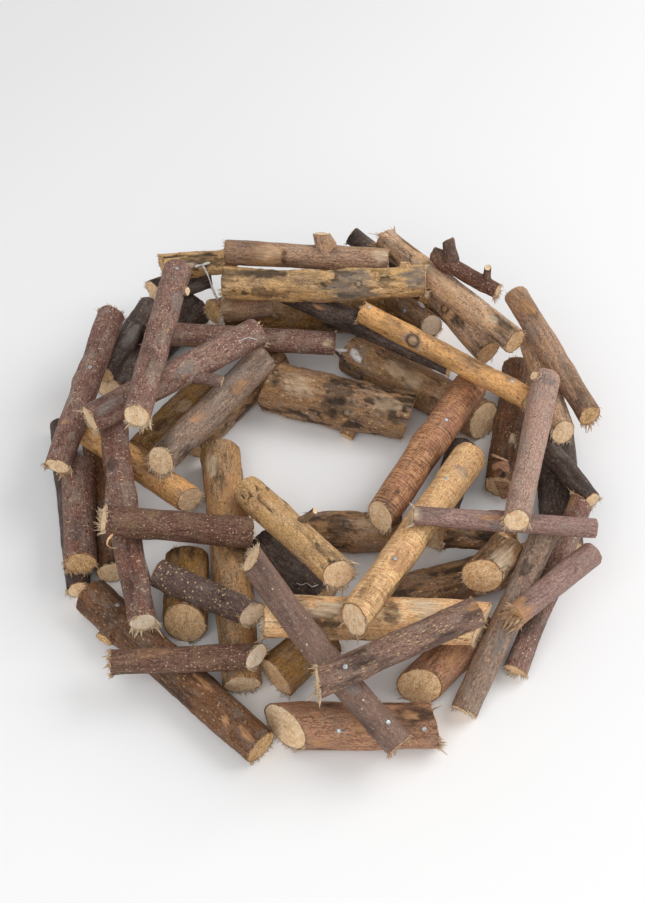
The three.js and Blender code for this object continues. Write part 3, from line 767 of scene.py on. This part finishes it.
BARK = {
    # Hazel: thin, smooth, purple-brown bark with small pale dots of cork
    "hazel": bark("hazel_bark", ("#4e352e", "#8a675c", "#b38f7a"), "#724940", "#cbb8a2", (2.6, 2.8, 2.8), 0.8, 0.26,
                  film="#a39485", film_share=0.5, fibres=0.3, contrast=0.9),
    "brown": bark("brown_hazel_bark", ("#3e261e", "#6e4d40", "#916d57"), "#5b362c", "#c2a686", (2.6, 2.8, 2.8), 0.7,
                  0.24, film="#7c6a4c", film_share=0.4, fibres=0.35, contrast=0.9),
    "spotted": bark("spotted_hazel_bark", ("#584239", "#7e6256", "#967969"), "#8b6e5f", "#d6c7b2", (6, 5, 5), 0.75,
                    0.17, film_share=0.12, contrast=0.45),
    "greyhazel": bark("grey_hazel_bark", ("#6f554c", "#a78575", "#cbac99"), "#b48d7d", "#cdbaa4", (2, 2.2, 2.2), 0.8,
                      fibres=0.3, film_share=0.45),
    "plum": bark("young_hazel_bark", ("#604943", "#97766e", "#bf9d8d"), "#94766c", "#b8a390", (5.5, 6, 6), 0.6, 0.13,
                 fibres=0.35, gloss=0.5, contrast=0.5),
    "lined": bark("lined_hazel_bark", ("#3f2824", "#7b5a4e", "#a0806b"), "#7a453a", "#cbb093", (1.8, 5.2, 5.2), 0.8,
                  0.28, film_share=0.4, fibres=0.3, contrast=0.85),
    "speckled": bark("speckled_hazel_bark", ("#352624", "#57423c", "#765f4e"), "#5e4641", "#c9ab7f", (2.6, 2.8, 2.8),
                     0.85, fibres=0.3),
    "ridged": bark("ridged_hazel_bark", ("#46322c", "#816355", "#a8856d"), "#856458", "#cdb184", (5, 1.4, 1.4), 0.75,
                   film_share=0.3, contrast=0.95),
    "worn_hazel": bark("worn_hazel_bark", ("#624b3f", "#a27e68", "#d0ac8a"), "#b58b65", "#bfa482", (2.6, 2.8, 2.8),
                       0.45, film_share=0.3),
    # Alder: reddish brown, duller and rougher, with few dots
    "alder": bark("alder_bark", ("#321f17", "#684630", "#8f6847"), "#7a4f2e", "#b8976d", (3.4, 2, 2), 0.35,
                  film_share=0.3),
    "russet": bark("red_alder_bark", ("#5e3e2e", "#a8785a", "#d6a57e"), "#ac7e64", "#b8976d", (3.4, 1.6, 1.6), 0.4),
    # Old limbs whose bark has dried to tan and olive, in large clouds under a grey film
    "tan": bark("old_tan_bark", ("#4f3829", "#906c4e", "#b69574"), "#a37a4e", "#c6a97f", (5, 3, 3), 0.3,
                film_share=0.4),
    "worn": bark("rubbed_tan_bark", ("#775c49", "#c7a286", "#fcdbba"), "#e0ae7b", "#c9ae88", (4, 3, 3), 0.35,
                 film_share=0.3),
    "dotted": bark("dotted_tan_bark", ("#5e4834", "#a07d5b", "#cca87b"), "#c8955b", "#543620", (1.7, 1.7, 1.7), 0.5),
    "olive": bark("olive_bark", ("#48321b", "#855f34", "#b58649"), "#996f37", "#a88d5a", (3.4, 3.4, 3.4), 0.3,
                  film_share=0.3),
    # Willow: yellow and smooth, in long pale streaks
    "ochre": bark("willow_bark", ("#815e3c", "#c79e6d", "#f3cc9d"), "#d6a96a", "#dcc18b", (6, 3, 3), 0.25,
                  film_share=0.2, gloss=0.55),
    "yellow": bark("smooth_willow_bark", ("#8b5e3a", "#d6a067", "#fcc88a"), "#ecb16c", "#85633a", (6, 2, 2), 0.25,
                   film_share=0.15, gloss=0.5),
    # Cherry and birch: fine bands that run round the stick, and a low gloss
    "cherry": bark("cherry_bark", ("#613b2a", "#ae7753", "#dfaa79"), "#9b6350", "#cc9f73", (1.6, 7, 7), 0.4,
                   film_share=0.15, bands=0.85, gloss=0.5),
    "orange": bark("birch_twig_bark", ("#8c5e37", "#ecb178", "#ffe5aa"), "#dfab7e", "#dab67c", (1.6, 7, 7), 0.35,
                   film_share=0.12, bands=0.6, gloss=0.52),
    # Weathered bark under a grey film, darker bark whose colour paints the deep shade inside the ring onto the sticks
    # that lie in it, and wood that lost its bark
    "grey": bark("weathered_bark", ("#4f4038", "#927a6b", "#bba18c"), "#90725c", "#b09b80", (5, 3, 3), 0.3,
                 film_share=0.45),
    "dark": bark("painted_shade_bark", ("#251c19", "#4f3e38", "#6f5d52"), "#443632", "#84705b", (3.4, 3.4, 3.4), 0.3),
    "cream": bark("peeled_wood", ("#b6875c", "#fcc693", "#fff5c7"), "#eab077", "#8a6940", (6, 2, 2), 0.2,
                  film="#9d8a6a"),
}
FACE = {
    "cream": sawn_face("fresh_cream_end", "#ffe6c3", "#e8bd8b"),
    "white": sawn_face("fresh_white_end", "#fff1dc", "#fbdfbd", pores=0.12, rings=0.15),
    "tan": sawn_face("dry_tan_end", "#fdd9aa", "#dba873", pores=0.4),
    "pithy": sawn_face("pithy_tan_end", "#fbd6a6", "#dfae78", pores=0.35, rings=0.15, dots=0.85),
    "ochre": sawn_face("old_ochre_end", "#e6bd82", "#b58650", pores=0.5),
}
NAIL = wire_nail()
GLUE = hot_glue()


# How each piece is worn

# Heights of the relief in millimetres, how many knuckles the bark and splits the faces have, and how many times as
# thick as its solid the piece is
PLAIN = {"swells": 0.7, "ridges": 0.2, "lumps": 0.16, "flakes": 0, "cracks": 0, "knuckles": 2, "splits": 1,
         "stout": 1}
KINDS = {
    "plum": {"ridges": 0.12, "lumps": 0.06}, "spotted": {"ridges": 0.14, "lumps": 0.08},
    "alder": {"ridges": 0.35, "lumps": 0.25}, "russet": {"ridges": 0.35, "lumps": 0.25},
    "tan": {"ridges": 0.4, "lumps": 0.3, "flakes": 0.35, "cracks": 0.5}, "worn": {"ridges": 0.35, "lumps": 0.2},
    "olive": {"ridges": 0.35, "lumps": 0.3, "flakes": 0.25}, "ochre": {"ridges": 0.25, "cracks": 0.4},
    "yellow": {"cracks": 0.2}, "cherry": {"lumps": 0.1}, "orange": {"ridges": 0.25, "lumps": 0.12},
    "grey": {"ridges": 0.35, "lumps": 0.2}, "dark": {"ridges": 0.35, "lumps": 0.2},
    "cream": {"ridges": 0.3, "flakes": 0.3, "cracks": 0.4}, "ridged": {"ridges": 0.45, "lumps": 0.15},
    "dotted": {"ridges": 0.3, "flakes": 0.25},
}

# A stick's first line has its name, its bark, its two sawn faces and, if it isn't the usual, the amount and kind of
# torn fibre at each end. The first end is the left one, or the far one. The lines under it say what else is on it. A
# nail has its share of the length and its angle round the stick, 0 on the left and 90 on top. A stub has these two,
# its lean, length and thickness. A mark has its kind, share, angle, half length and half width. Lengths are in
# millimetres.
# A stick with the bark dark takes the darker bark that paints the ring's deep shade.
STICKS = """
hole_back_log tan tan tan
  flakes 0.7, cracks 0.9, stub 0.6 215 0 4 9, dark 0.5 118 14.5 14.5, knot 0.59 150 4.6 4.6,
  light 0.22 112 12.3 7.7, light 0.84 115 10.7 6.8, dark 0.04 110 3.9 6.9
hole_back_right_log tan tan cream
  stout 1.1, olive 0.5 90 40 14, light 0.42 112 18 7, grey 0.71 42 7.8 6.3
hole_left_log tan tan tan
  flakes 0.3, grey 0.6 118 11 4.7
right_inner_log alder tan tan
  stout 1.06, pale 0.69 76 6.8 3.8
hole_right_log dark cream cream
hole_front_log tan tan tan
  cracks 0.9, dark 0.36 110 8.6 10, knot 0.43 106 3.6 3.6, light 0.67 114 10 6.4
front_inner_log dark cream cream
left_front_long_log dotted cream cream 0.4 bare 0.5 pale
  swell 0.3 10 14 8, pale 0.11 122 10.4 5.9, bare 0.28 60 21.7 7.2, dark 0.7 124 9.5 6.8
front_olive_log olive tan cream
  scar 0.35 87 2.6 2
front_log russet cream ochre 0.5 pale 1 bare
  nail 0.36 128, nail 0.93 128, bare 0.53 108 10.8 5.7, bare 0.84 93 5.7 3.8, dark 0.3 52 7.7 3.8,
  bare 0.23 156 5.7 2.5
front_left_log alder cream ochre 0.5 bare 0.4 bare
  stub 0.2 175 0 3 10, nail 0.16 75, bare 0.95 110 5.7 3.8, bare 0.85 123 3.8 3.2, scar 0.16 195 2.7 3.4,
  bare 0.68 81 7.8 1.9
left_front_log olive tan pithy
  bare 0.78 136 2.7 2.7
left_inner_log olive tan tan
  light 0.59 111 6.2 5.4, dark 0.27 97 6.9 5.3
left_outer_log alder cream cream
front_right_cut_log russet pithy pithy 0.1 pale 0.3 pale
  bare 0.42 117 9.2 3.3
back_left_log dark cream cream
back_log olive tan tan
  flakes 0.5, light 0.24 124 8.2 5.7
right_outer_log dark cream cream
front_right_inner_log tan tan tan
left_outer_low_stick dark cream cream 0.3 pale 0.5 pale
front_long_log cream cream cream 2.4 pale 0.8 pale
  dark 0.58 104 5.2 9.1, knot 0.56 114 2.6 2.6, pale 0.73 86 10.4 6.5, pale 0.32 94 16.9 5.8, grey 0.21 108 5.2 3.9
cracked_yellow_stick ochre tan cream 0.3 pale 1.3 pale
  cracks 1, dusky_stubs, stub 0.5 55 30 14 6, dark 0.79 88 2 1.3, scar 0.33 27 5.6 4.2, bare 0.24 106 5.6 5.6
ochre_stick yellow tan cream 0.3 pale 0.7 pale
  cracks 0.2, bare 0.67 123 10.1 4.3, grey 0.94 115 2.2 2.2
back_left_dark_stick dark cream ochre
  grey 0.67 190 8.2 5.7
back_left_tan_log ochre ochre tan 0.8 bare 0.4 bare
  flakes 0.5, cracks 1, dark 0.52 112 11.2 3.2, pale 0.31 138 7.2 3.2
grey_stick grey cream tan 1.4 pale 0.4 pale
  nail 0.95 60, bare 0.31 100 5.8 2.9, bare 0.68 134 6.8 3.8, dark 0.12 171 7.9 6.5, grey 0.73 70 12.1 6
dark_left_stick dark tan tan
  grey 0.47 122 12.5 4.7
reddish_stick hazel cream cream 1 bare 0.5 pale
  bare -0.02 130 5.5 7.1, pale 0.96 135 4.7 3.1, bare 0.28 181 14.2 2.4
short_lined_log lined cream ochre 0.5 pale 1.2 bare
  scar 0.9 86 2.1 2.8
left_curved_stick lined tan white 0.4 bare 1.3 pale
  swell 0.43 165 9 6, swell 0.8 10 9 5, dark 0.28 112 5.6 4.2, grey 0.79 2 8.1 4.1, scar 0.43 0 6.3 3.5
left_outer_stick hazel tan cream 0.7 bare 0.8 bare
  nail 0.42 80, swell 0.46 178 7 6, bare 0.77 114 2.2 2.9, scar 0.49 158 3 3
ash_log worn_hazel ochre tan 0.8 pale 0.3 pale
  light 0.21 126 4 4.8
back_dark_end_stick dark cream tan 0.6 bare 0.3 pale
dark_cross_log dark cream cream
  bare 0.28 135 4.7 1.6
short_brown_stick tan tan white 0.4 pale 0.5 pale
  flakes 0.2, cracks 0.2, nail 0.5 150
knotted_tan_stick worn cream tan 1 bare 0.3 pale
  stub 0.12 120 0 2 9, bare 0.28 141 4.8 4.8, knot 0.28 141 5.6 5.6, dark 0.52 132 7.9 6.3
cherry_stick cherry cream cream 0.5 pale 0.4 pale
  nail 0.65 105, swell 0.5 20 10 5, dark 0.13 112 1.4 1.4, dark 0.6 93 1.5 1.5, dark 0.6 153 1.5 10.3
right_low_outer_stick dark cream cream
right_pale_end_stick worn tan cream
short_tan_log tan tan tan 0.5 pale 0.5 pale
  stout 1.16, flakes 0.5, nail 0.74 110, pale 0.8 132 3.5 2.8, pale 0.36 74 9.8 2.8
thick_cut_log tan tan tan 0.3 pale 0.3 pale
  pale 0.5 117 10 9, grey 0.5 95 4 4, knot 0.36 94 2.7 2.7
right_long_stick hazel tan cream 0.4 pale 1.2 bare
  bare 0.96 36 5.6 4.9, bare 0.38 81 8.1 2
right_dark_stick grey cream tan 0.4 pale 0.3 pale
  grey 0.39 111 11.9 3.3, dark 0.77 82 6 5.3
long_tan_stick worn cream tan 1.3 bare 0.3 pale
  cracks 0.5, pale 0.38 97 2.4 1.6, pale 0.44 114 17.2 1.6, pale 0.36 122 14.1 1.6, pale 0.85 112 5.3 3.8,
  dark 0.93 96 6 4.5
orange_tan_stick orange cream cream 1.2 bare 1.3 bare
  nail 0.76 85, nail 0.28 100, dark 0.47 178 3.4 5.4, bare 0.29 115 7.8 6.5, grey 0.84 112 5.6 5.6
right_outer_stick worn_hazel tan ochre 0.4 bare 0.9 bare
  grey 0.34 159 7.6 8.4, bare 0.4 202 3 2.3, bare 0.16 94 7.7 6.1
dark_twig brown cream cream 0.3 pale 0.6 bare
  dusky_stubs, stub 0.3 60 -35 12 9, stub 0.82 80 -10 9 6
left_cross_stick brown cream cream 1.7 pale 1 pale
  scar 0.78 76 1.4 1.4
left_speckled_stick speckled tan white 0.3 bare 0.9 pale
  dark 0.72 114 2 2
front_left_cross_stick brown ochre white 1.4 bare 0.4 pale
  olive 0.28 79 12.9 3.2, scar 0.43 208 1.9 1.3
twig_stick hazel cream cream 0.9 pale 0.7 pale
  dusky_stubs, stub 0.52 195 45 16 8, grey 0.1 115 9.9 3.5, grey 0.52 136 8.7 4.4, scar 0.5 154 6.5 4.4
upright_stick hazel tan cream 0 pale 1.5 pale
  stub 0.16 20 20 4 6, nail 0.07 80, swell 0.74 130 8 5, scar 0.74 97 4.9 2.8, grey 0.27 36 10.4 5.2,
  bare 0.49 46 1.4 1.4, bare 0.11 345 3.2 3.2, bare 0.15 20 4 4
reddish_back_stick worn_hazel tan cream 0.6 bare 0.7 pale
  stout 1.08, stub 0.64 55 -20 9 12, dusk 0.1 120 20 14, bare 0.26 136 11.8 11, light 0.27 132 9 8,
  dark 0.37 152 1.6 6.3, dark 1 163 4.7 3.1, pale 0.96 115 6.3 4.7
peeled_top_stick ochre tan tan 0.8 pale 1 pale
  stout 1.1, flakes 0.6, cracks 0.5, stub 0.9 60 0 3 7, dusk 0.18 70 26 12, dusk 0.42 120 16 9,
  olive 0.35 160 18.6 4.7, greydark 0.64 145 17 13.9, knot 0.68 134 3.9 3.9, greydark 0.95 123 10 9.2
yellow_top_stick yellow tan cream 0.5 bare 0.4 pale
  cracks 0.3, nail 0.03 90, nail 0.88 85, dusk 0.6 60 45 7, dusk 0.2 110 12 6, knot 0.33 140 7.5 6.8,
  grey 0.33 140 8.3 6.8, bare 0.33 144 3.8 3.8, grey 0.87 42 6.6 3.7
jutting_purple_stick plum ochre tan 3.2 bare 0 pale
  bare 0.02 88 9 39
thin_purple_stick plum cream tan 0.9 pale 0 pale
  bare 0.41 104 8 2, pale 0.02 115 3.3 5.3, grey 0.45 156 5.3 2.7
grey_purple_stick greyhazel tan cream 0.3 pale 0.5 pale
  stub 0.06 140 0 2 7, knot 0.07 114 2.9 2.9, greydark 0.08 81 6.5 5
diagonal_stick spotted cream cream 0.8 pale 0.8 bare
  nail 0.9 85, swell 0.44 60 6 5, scar 0.44 78 1.9 1.3, grey 0.69 100 6.2 3.7
ridged_bark_stick ridged cream cream 1 pale 0.6 bare
  nail 0.15 105, swell 0.79 100 7 5, bare 0.97 90 6.4 3.2, scar 0.84 76 1.9 1.9, dark 0.12 102 1.8 1.2
"""
USUAL_FIBRE = ("0.3", "pale", "0.4", "pale")
SHADE = ("dusk", 0.5, 0, 40, 40)        # a mark that darkens a whole stub


def read_sticks(table):
    """The look of each stick by name: what its bark has, changed by what its own lines say."""
    sticks = {}
    for line in table.strip().splitlines():
        if line[0] != " ":
            name, kind, face, other_face, *fibre = line.split()
            amount, torn, other_amount, other_torn = fibre or USUAL_FIBRE
            look = {**PLAIN, **KINDS.get(kind, {}), "bark": kind, "faces": (face, other_face), "marks": [],
                    "stubs": [], "nails": [], "stub_marks": [],
                    "frays": ((float(amount), torn), (float(other_amount), other_torn))}
            sticks[name] = look
            continue
        for item in line.strip(" ,").split(", "):
            word, *numbers = item.split()
            numbers = [float(number) for number in numbers]
            if word in ("stub", "nail"):
                look[word + "s"].append(numbers)
            elif word == "dusky_stubs":
                look["stub_marks"].append(SHADE)
            elif word in look:
                look[word] = numbers[0]
            else:
                look["marks"].append((word, *numbers))
    return sticks


STUB_SEED = 100
for seed, (name, look) in enumerate(read_sticks(STICKS).items(), 1):
    wood = wood_of(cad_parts[name])
    wood.table[:, 0] *= look["stout"]
    skin = Skin()
    add_wood(skin, wood, look, seed)
    for share, turn, lean, length, thick in look["stubs"]:
        stub_look = {**look, "marks": look["stub_marks"], "flakes": 0, "cracks": 0, "splits": 0, "knuckles": 0}
        add_wood(skin, shoot_of(wood, share, turn, lean, length, thick), stub_look, seed + STUB_SEED)
    add_frays(skin, wood, look, seed)
    for share, turn in look["nails"]:
        add_nail(skin, wood, share, turn)
    piece = skin.mesh(name + "_barked", [BARK[look["bark"]], *(FACE[face] for face in look["faces"]), NAIL])
    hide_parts(name)
    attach(piece, "root")


# What lies loose or stuck on the sticks: glue, threads of it, curls and chips of bark

RIBBON_RINGS = 22
RIBBON_SIDES = 12
LOOSE_SEED = 70


def ribbon_profile(shape, way):
    """Share of the full width along the way: a strand is even, a drop is round, a curl narrows to its far end."""
    if shape == "strand":
        return 0.75 + 0.25 * np.sin(9 * way + 1)
    if shape == "drop":
        return np.sqrt(np.clip(1 - (2 * way - 1) ** 2, 0.03, 1))
    return np.clip(1 - 0.75 * way ** 2.5, 0.1, 1) * step(-0.1, 0.12, way)


def add_ribbon(skin, path, width, thick, shape, facing, seed):
    """Adds a closed ribbon along a smooth path through the given points.

    Its cut is an oval of that width and thickness, flat towards its facing direction, with noise on its edges.
    """
    path = np.asarray(path, float)
    reach = np.concatenate([[0], np.cumsum(np.linalg.norm(np.diff(path, axis=0), axis=1))])
    way = np.linspace(0, 1, RIBBON_RINGS)
    line = np.stack([np.interp(way * reach[-1], reach, column) for column in path.T], -1)
    for _ in range(3):
        line[1:-1] = (line[:-2] + 2 * line[1:-1] + line[2:]) / 4
    heading = unit(np.gradient(line, axis=0))
    facing = np.broadcast_to(np.asarray(facing, float), heading.shape)
    side = unit(np.cross(heading, facing))
    above = np.cross(side, heading)
    spin = np.arange(RIBBON_SIDES) / RIBBON_SIDES * TURN
    full = ribbon_profile(shape, way)[:, None, None]
    ragged = 1 + 0.22 * grain(line[:, None] + 3 * np.cos(spin)[:, None], 2.2, seed)[..., None]
    points = line[:, None] + full * ragged * (width / 2 * np.cos(spin)[:, None] * side[:, None]
                                              + thick / 2 * np.sin(spin)[:, None] * above[:, None])
    poles = [line[0], line[-1]]
    quads, triangles = tube_faces(RIBBON_RINGS, RIBBON_SIDES)
    if np.linalg.det(np.stack([side[0], above[0], heading[0]])) < 0:
        quads, triangles = quads[:, ::-1], triangles[:, ::-1]
    points = np.concatenate([points.reshape(-1, 3), poles])
    skin.add(points, points, NO_CUT_NEAR, (0, 0, 0, 0), quads, triangles, 0, 0)


# Each loose thing: its material, the stick that it lies on, width, thickness, shape, the way its flat side faces, and
# its path in millimetres
LOOSE = {
    "glue_strand_over_hole_back": (GLUE, "reddish_stick", 3.4, 2.2, "strand", (0, -0.7, 0.7),
        [(-7, 123.5, 33), (-2, 122, 34.5), (4, 121.5, 33.5), (10, 121, 31), (17, 121, 29), (24, 121, 28.2)]),
    "glue_drop_on_hole_back_right": (GLUE, "hole_back_right_log", 8, 4.5, "drop", (-0.4, -0.6, 0.7),
        [(25, 123, 28), (28, 119.5, 28.4), (32, 114.5, 27.4), (34.5, 111, 24.2)]),
    # The hook and the sliver take the darker bark that paints the ring's deep shade.
    "bark_hook": (BARK["dark"], "hole_back_right_log", 3.4, 1.3, "curl", (-0.4, -0.7, 0.5),
        [(22, 121.5, 27), (26, 118, 25), (31, 113.5, 23.5), (34.5, 108.5, 20), (35.5, 104.5, 14), (34, 103, 8)]),
    "bark_sliver_at_hole_back": (BARK["dark"], "hole_back_right_log", 2.4, 1.4, "curl", (-0.3, -0.6, 0.7),
        [(14, 119.5, 29.5), (18, 117, 26), (22, 113.5, 22), (26.5, 110.5, 16.5)]),
    "glue_strand_behind_ash_log": (GLUE, "back_left_tan_log", 2.2, 1.6, "strand", (0, -0.9, 0.4),
        [(-92, 176.5, 68.8), (-89, 173.5, 65), (-86, 168, 59), (-83, 161, 53.5), (-79.7, 155.5, 51.2)]),
    "glue_bar_on_tan_log": (GLUE, "back_left_tan_log", 2.4, 1.6, "strand", (0, -0.5, 0.9),
        [(-98, 176, 68.2), (-92, 177, 69.2), (-86, 178.5, 70)]),
    "glue_at_ash_log_rim": (GLUE, "ash_log", 3.6, 2.6, "drop", (0, -1, 0.2),
        [(-76.5, 144.4, 41.5), (-77, 144.8, 37), (-78.2, 143, 32.5)]),
    "glue_drop_on_brown_stick": (GLUE, "short_brown_stick", 4, 2.2, "drop", (0.3, 0.2, 0.9),
        [(80.7, 156, 48.6), (82.8, 151.2, 50), (85.2, 146.6, 50.6)]),
    "thread_on_twig_stick": (GLUE, "twig_stick", 0.7, 0.5, "strand", (0.3, -0.5, 0.8),
        [(-66, 79, 88), (-59.8, 73.5, 85.2), (-53, 78.5, 86), (-49.8, 79.9, 84.9), (-44, 80, 82)]),
    "thread_by_front_inner_log": (GLUE, "front_inner_log", 0.7, 0.5, "strand", (0, -0.2, 1),
        [(-14, -94, 19.8), (-10, -97, 21), (-7.4, -95, 22.2), (-3, -99.5, 22.8), (1, -97, 22.4)]),
    "bark_flap_on_right_inner_log": (BARK["russet"], "right_inner_log", 13, 1.3, "curl", (-0.2, -0.6, 0.8),
        [(137, 14, 21.9), (137, 8, 22.3), (136.5, 1.5, 21), (137, -3.2, 16), (138.5, -6, 9.5), (139, -9.5, 5)]),
    "bark_curl_on_right_inner_log": (BARK["worn"], "right_inner_log", 3, 1, "curl", (0.1, 0, 1),
        [(131, 20, 21.4), (134, 16, 23.4), (138.5, 13.5, 24), (143, 12.5, 22.4)]),
    "chip_on_thick_cut_log": (BARK["cream"], "thick_cut_log", 3.4, 1.3, "drop", (-0.3, 0.4, 0.86),
        [(124.6, -73.2, 51.2), (127.7, -77.6, 54.4), (131, -81, 55)]),
    "curl_at_left_cross_stick": (BARK["cream"], "left_cross_stick", 1.8, 0.8, "curl", (-0.6, -0.7, 0.2),
        [(-136, -85.5, 67), (-140, -87.5, 62.5), (-141.5, -88, 57), (-139, -87.5, 52.5), (-135, -87, 52)]),
    "curl_on_front_inner_log": (BARK["cherry"], "front_inner_log", 1.6, 0.7, "curl", (0, 0, 1),
        [(-22, -66, 24.2), (-18.5, -69, 26), (-14, -70, 26.2), (-11, -73.5, 24.4)]),
}
for seed, (name, (material, node, width, thick, shape, facing, path)) in enumerate(LOOSE.items(), LOOSE_SEED):
    skin = Skin()
    add_ribbon(skin, path, width, thick, shape, facing, seed)
    piece = skin.mesh(name, [material])
    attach(piece, "root")


# Floor, light and camera, in metres

FLOOR_REACH = 6


def pale_floor():
    """A large sheet of pale matt card."""
    material, tree = new_material("pale_card")
    cloud = add(tree, "TexNoise", {"Vector": add(tree, "TexCoord").outputs["Object"], "Scale": 1.5, "Detail": 2.0})
    colour = add(tree, "ValToRGB", {"Fac": cloud}, ((0.3, "#efeff0"), (0.7, "#f1f1f1")))
    shader = add(tree, "BsdfPrincipled", {"Base Color": colour, "Roughness": 0.9})
    add(tree, "OutputMaterial", {"Surface": shader})
    mesh = bpy.data.meshes.new("floor")
    corners = [(FLOOR_REACH * x, FLOOR_REACH * y, 0) for x, y in ((-1, -1), (1, -1), (1, 1), (-1, 1))]
    mesh.from_pydata(corners, [], [(0, 1, 2, 3)])
    mesh.materials.append(material)
    floor = bpy.data.objects.new("floor", mesh)
    bpy.context.scene.collection.objects.link(floor)


def lamp(name, place, size, power):
    """A square soft light at a place, turned to the middle of the floor."""
    light = bpy.data.lights.new(name, "AREA")
    light.size, light.energy = size, power
    holder = bpy.data.objects.new(name, light)
    holder.location = place
    holder.rotation_euler = (-Vector(place)).to_track_quat("-Z", "Y").to_euler()
    bpy.context.scene.collection.objects.link(holder)


pale_floor()
lamp("window", (1.5, 0.45, 1.45), 1.5, 26)
lamp("front", (-0.4, -1.2, 1.3), 1.6, 14)
world = bpy.data.worlds.new("studio")
world.use_nodes = True
world.node_tree.nodes["Background"].inputs["Color"].default_value = (1, 1, 1, 1)
world.node_tree.nodes["Background"].inputs["Strength"].default_value = 0.5
bpy.context.scene.world = world
bpy.context.scene.view_settings.view_transform = "Standard"

# Where the photo was taken from, fitted to the places of the sticks in it
camera_data = bpy.data.cameras.new("camera")
camera_data.lens = 49.99
camera_data.sensor_width = 36
camera = bpy.data.objects.new("camera", camera_data)
camera.location = (0.00402, -0.57529, 0.7507)
camera.rotation_euler = (math.radians(39.35), 0, 0)
bpy.context.scene.collection.objects.link(camera)
bpy.context.scene.camera = camera
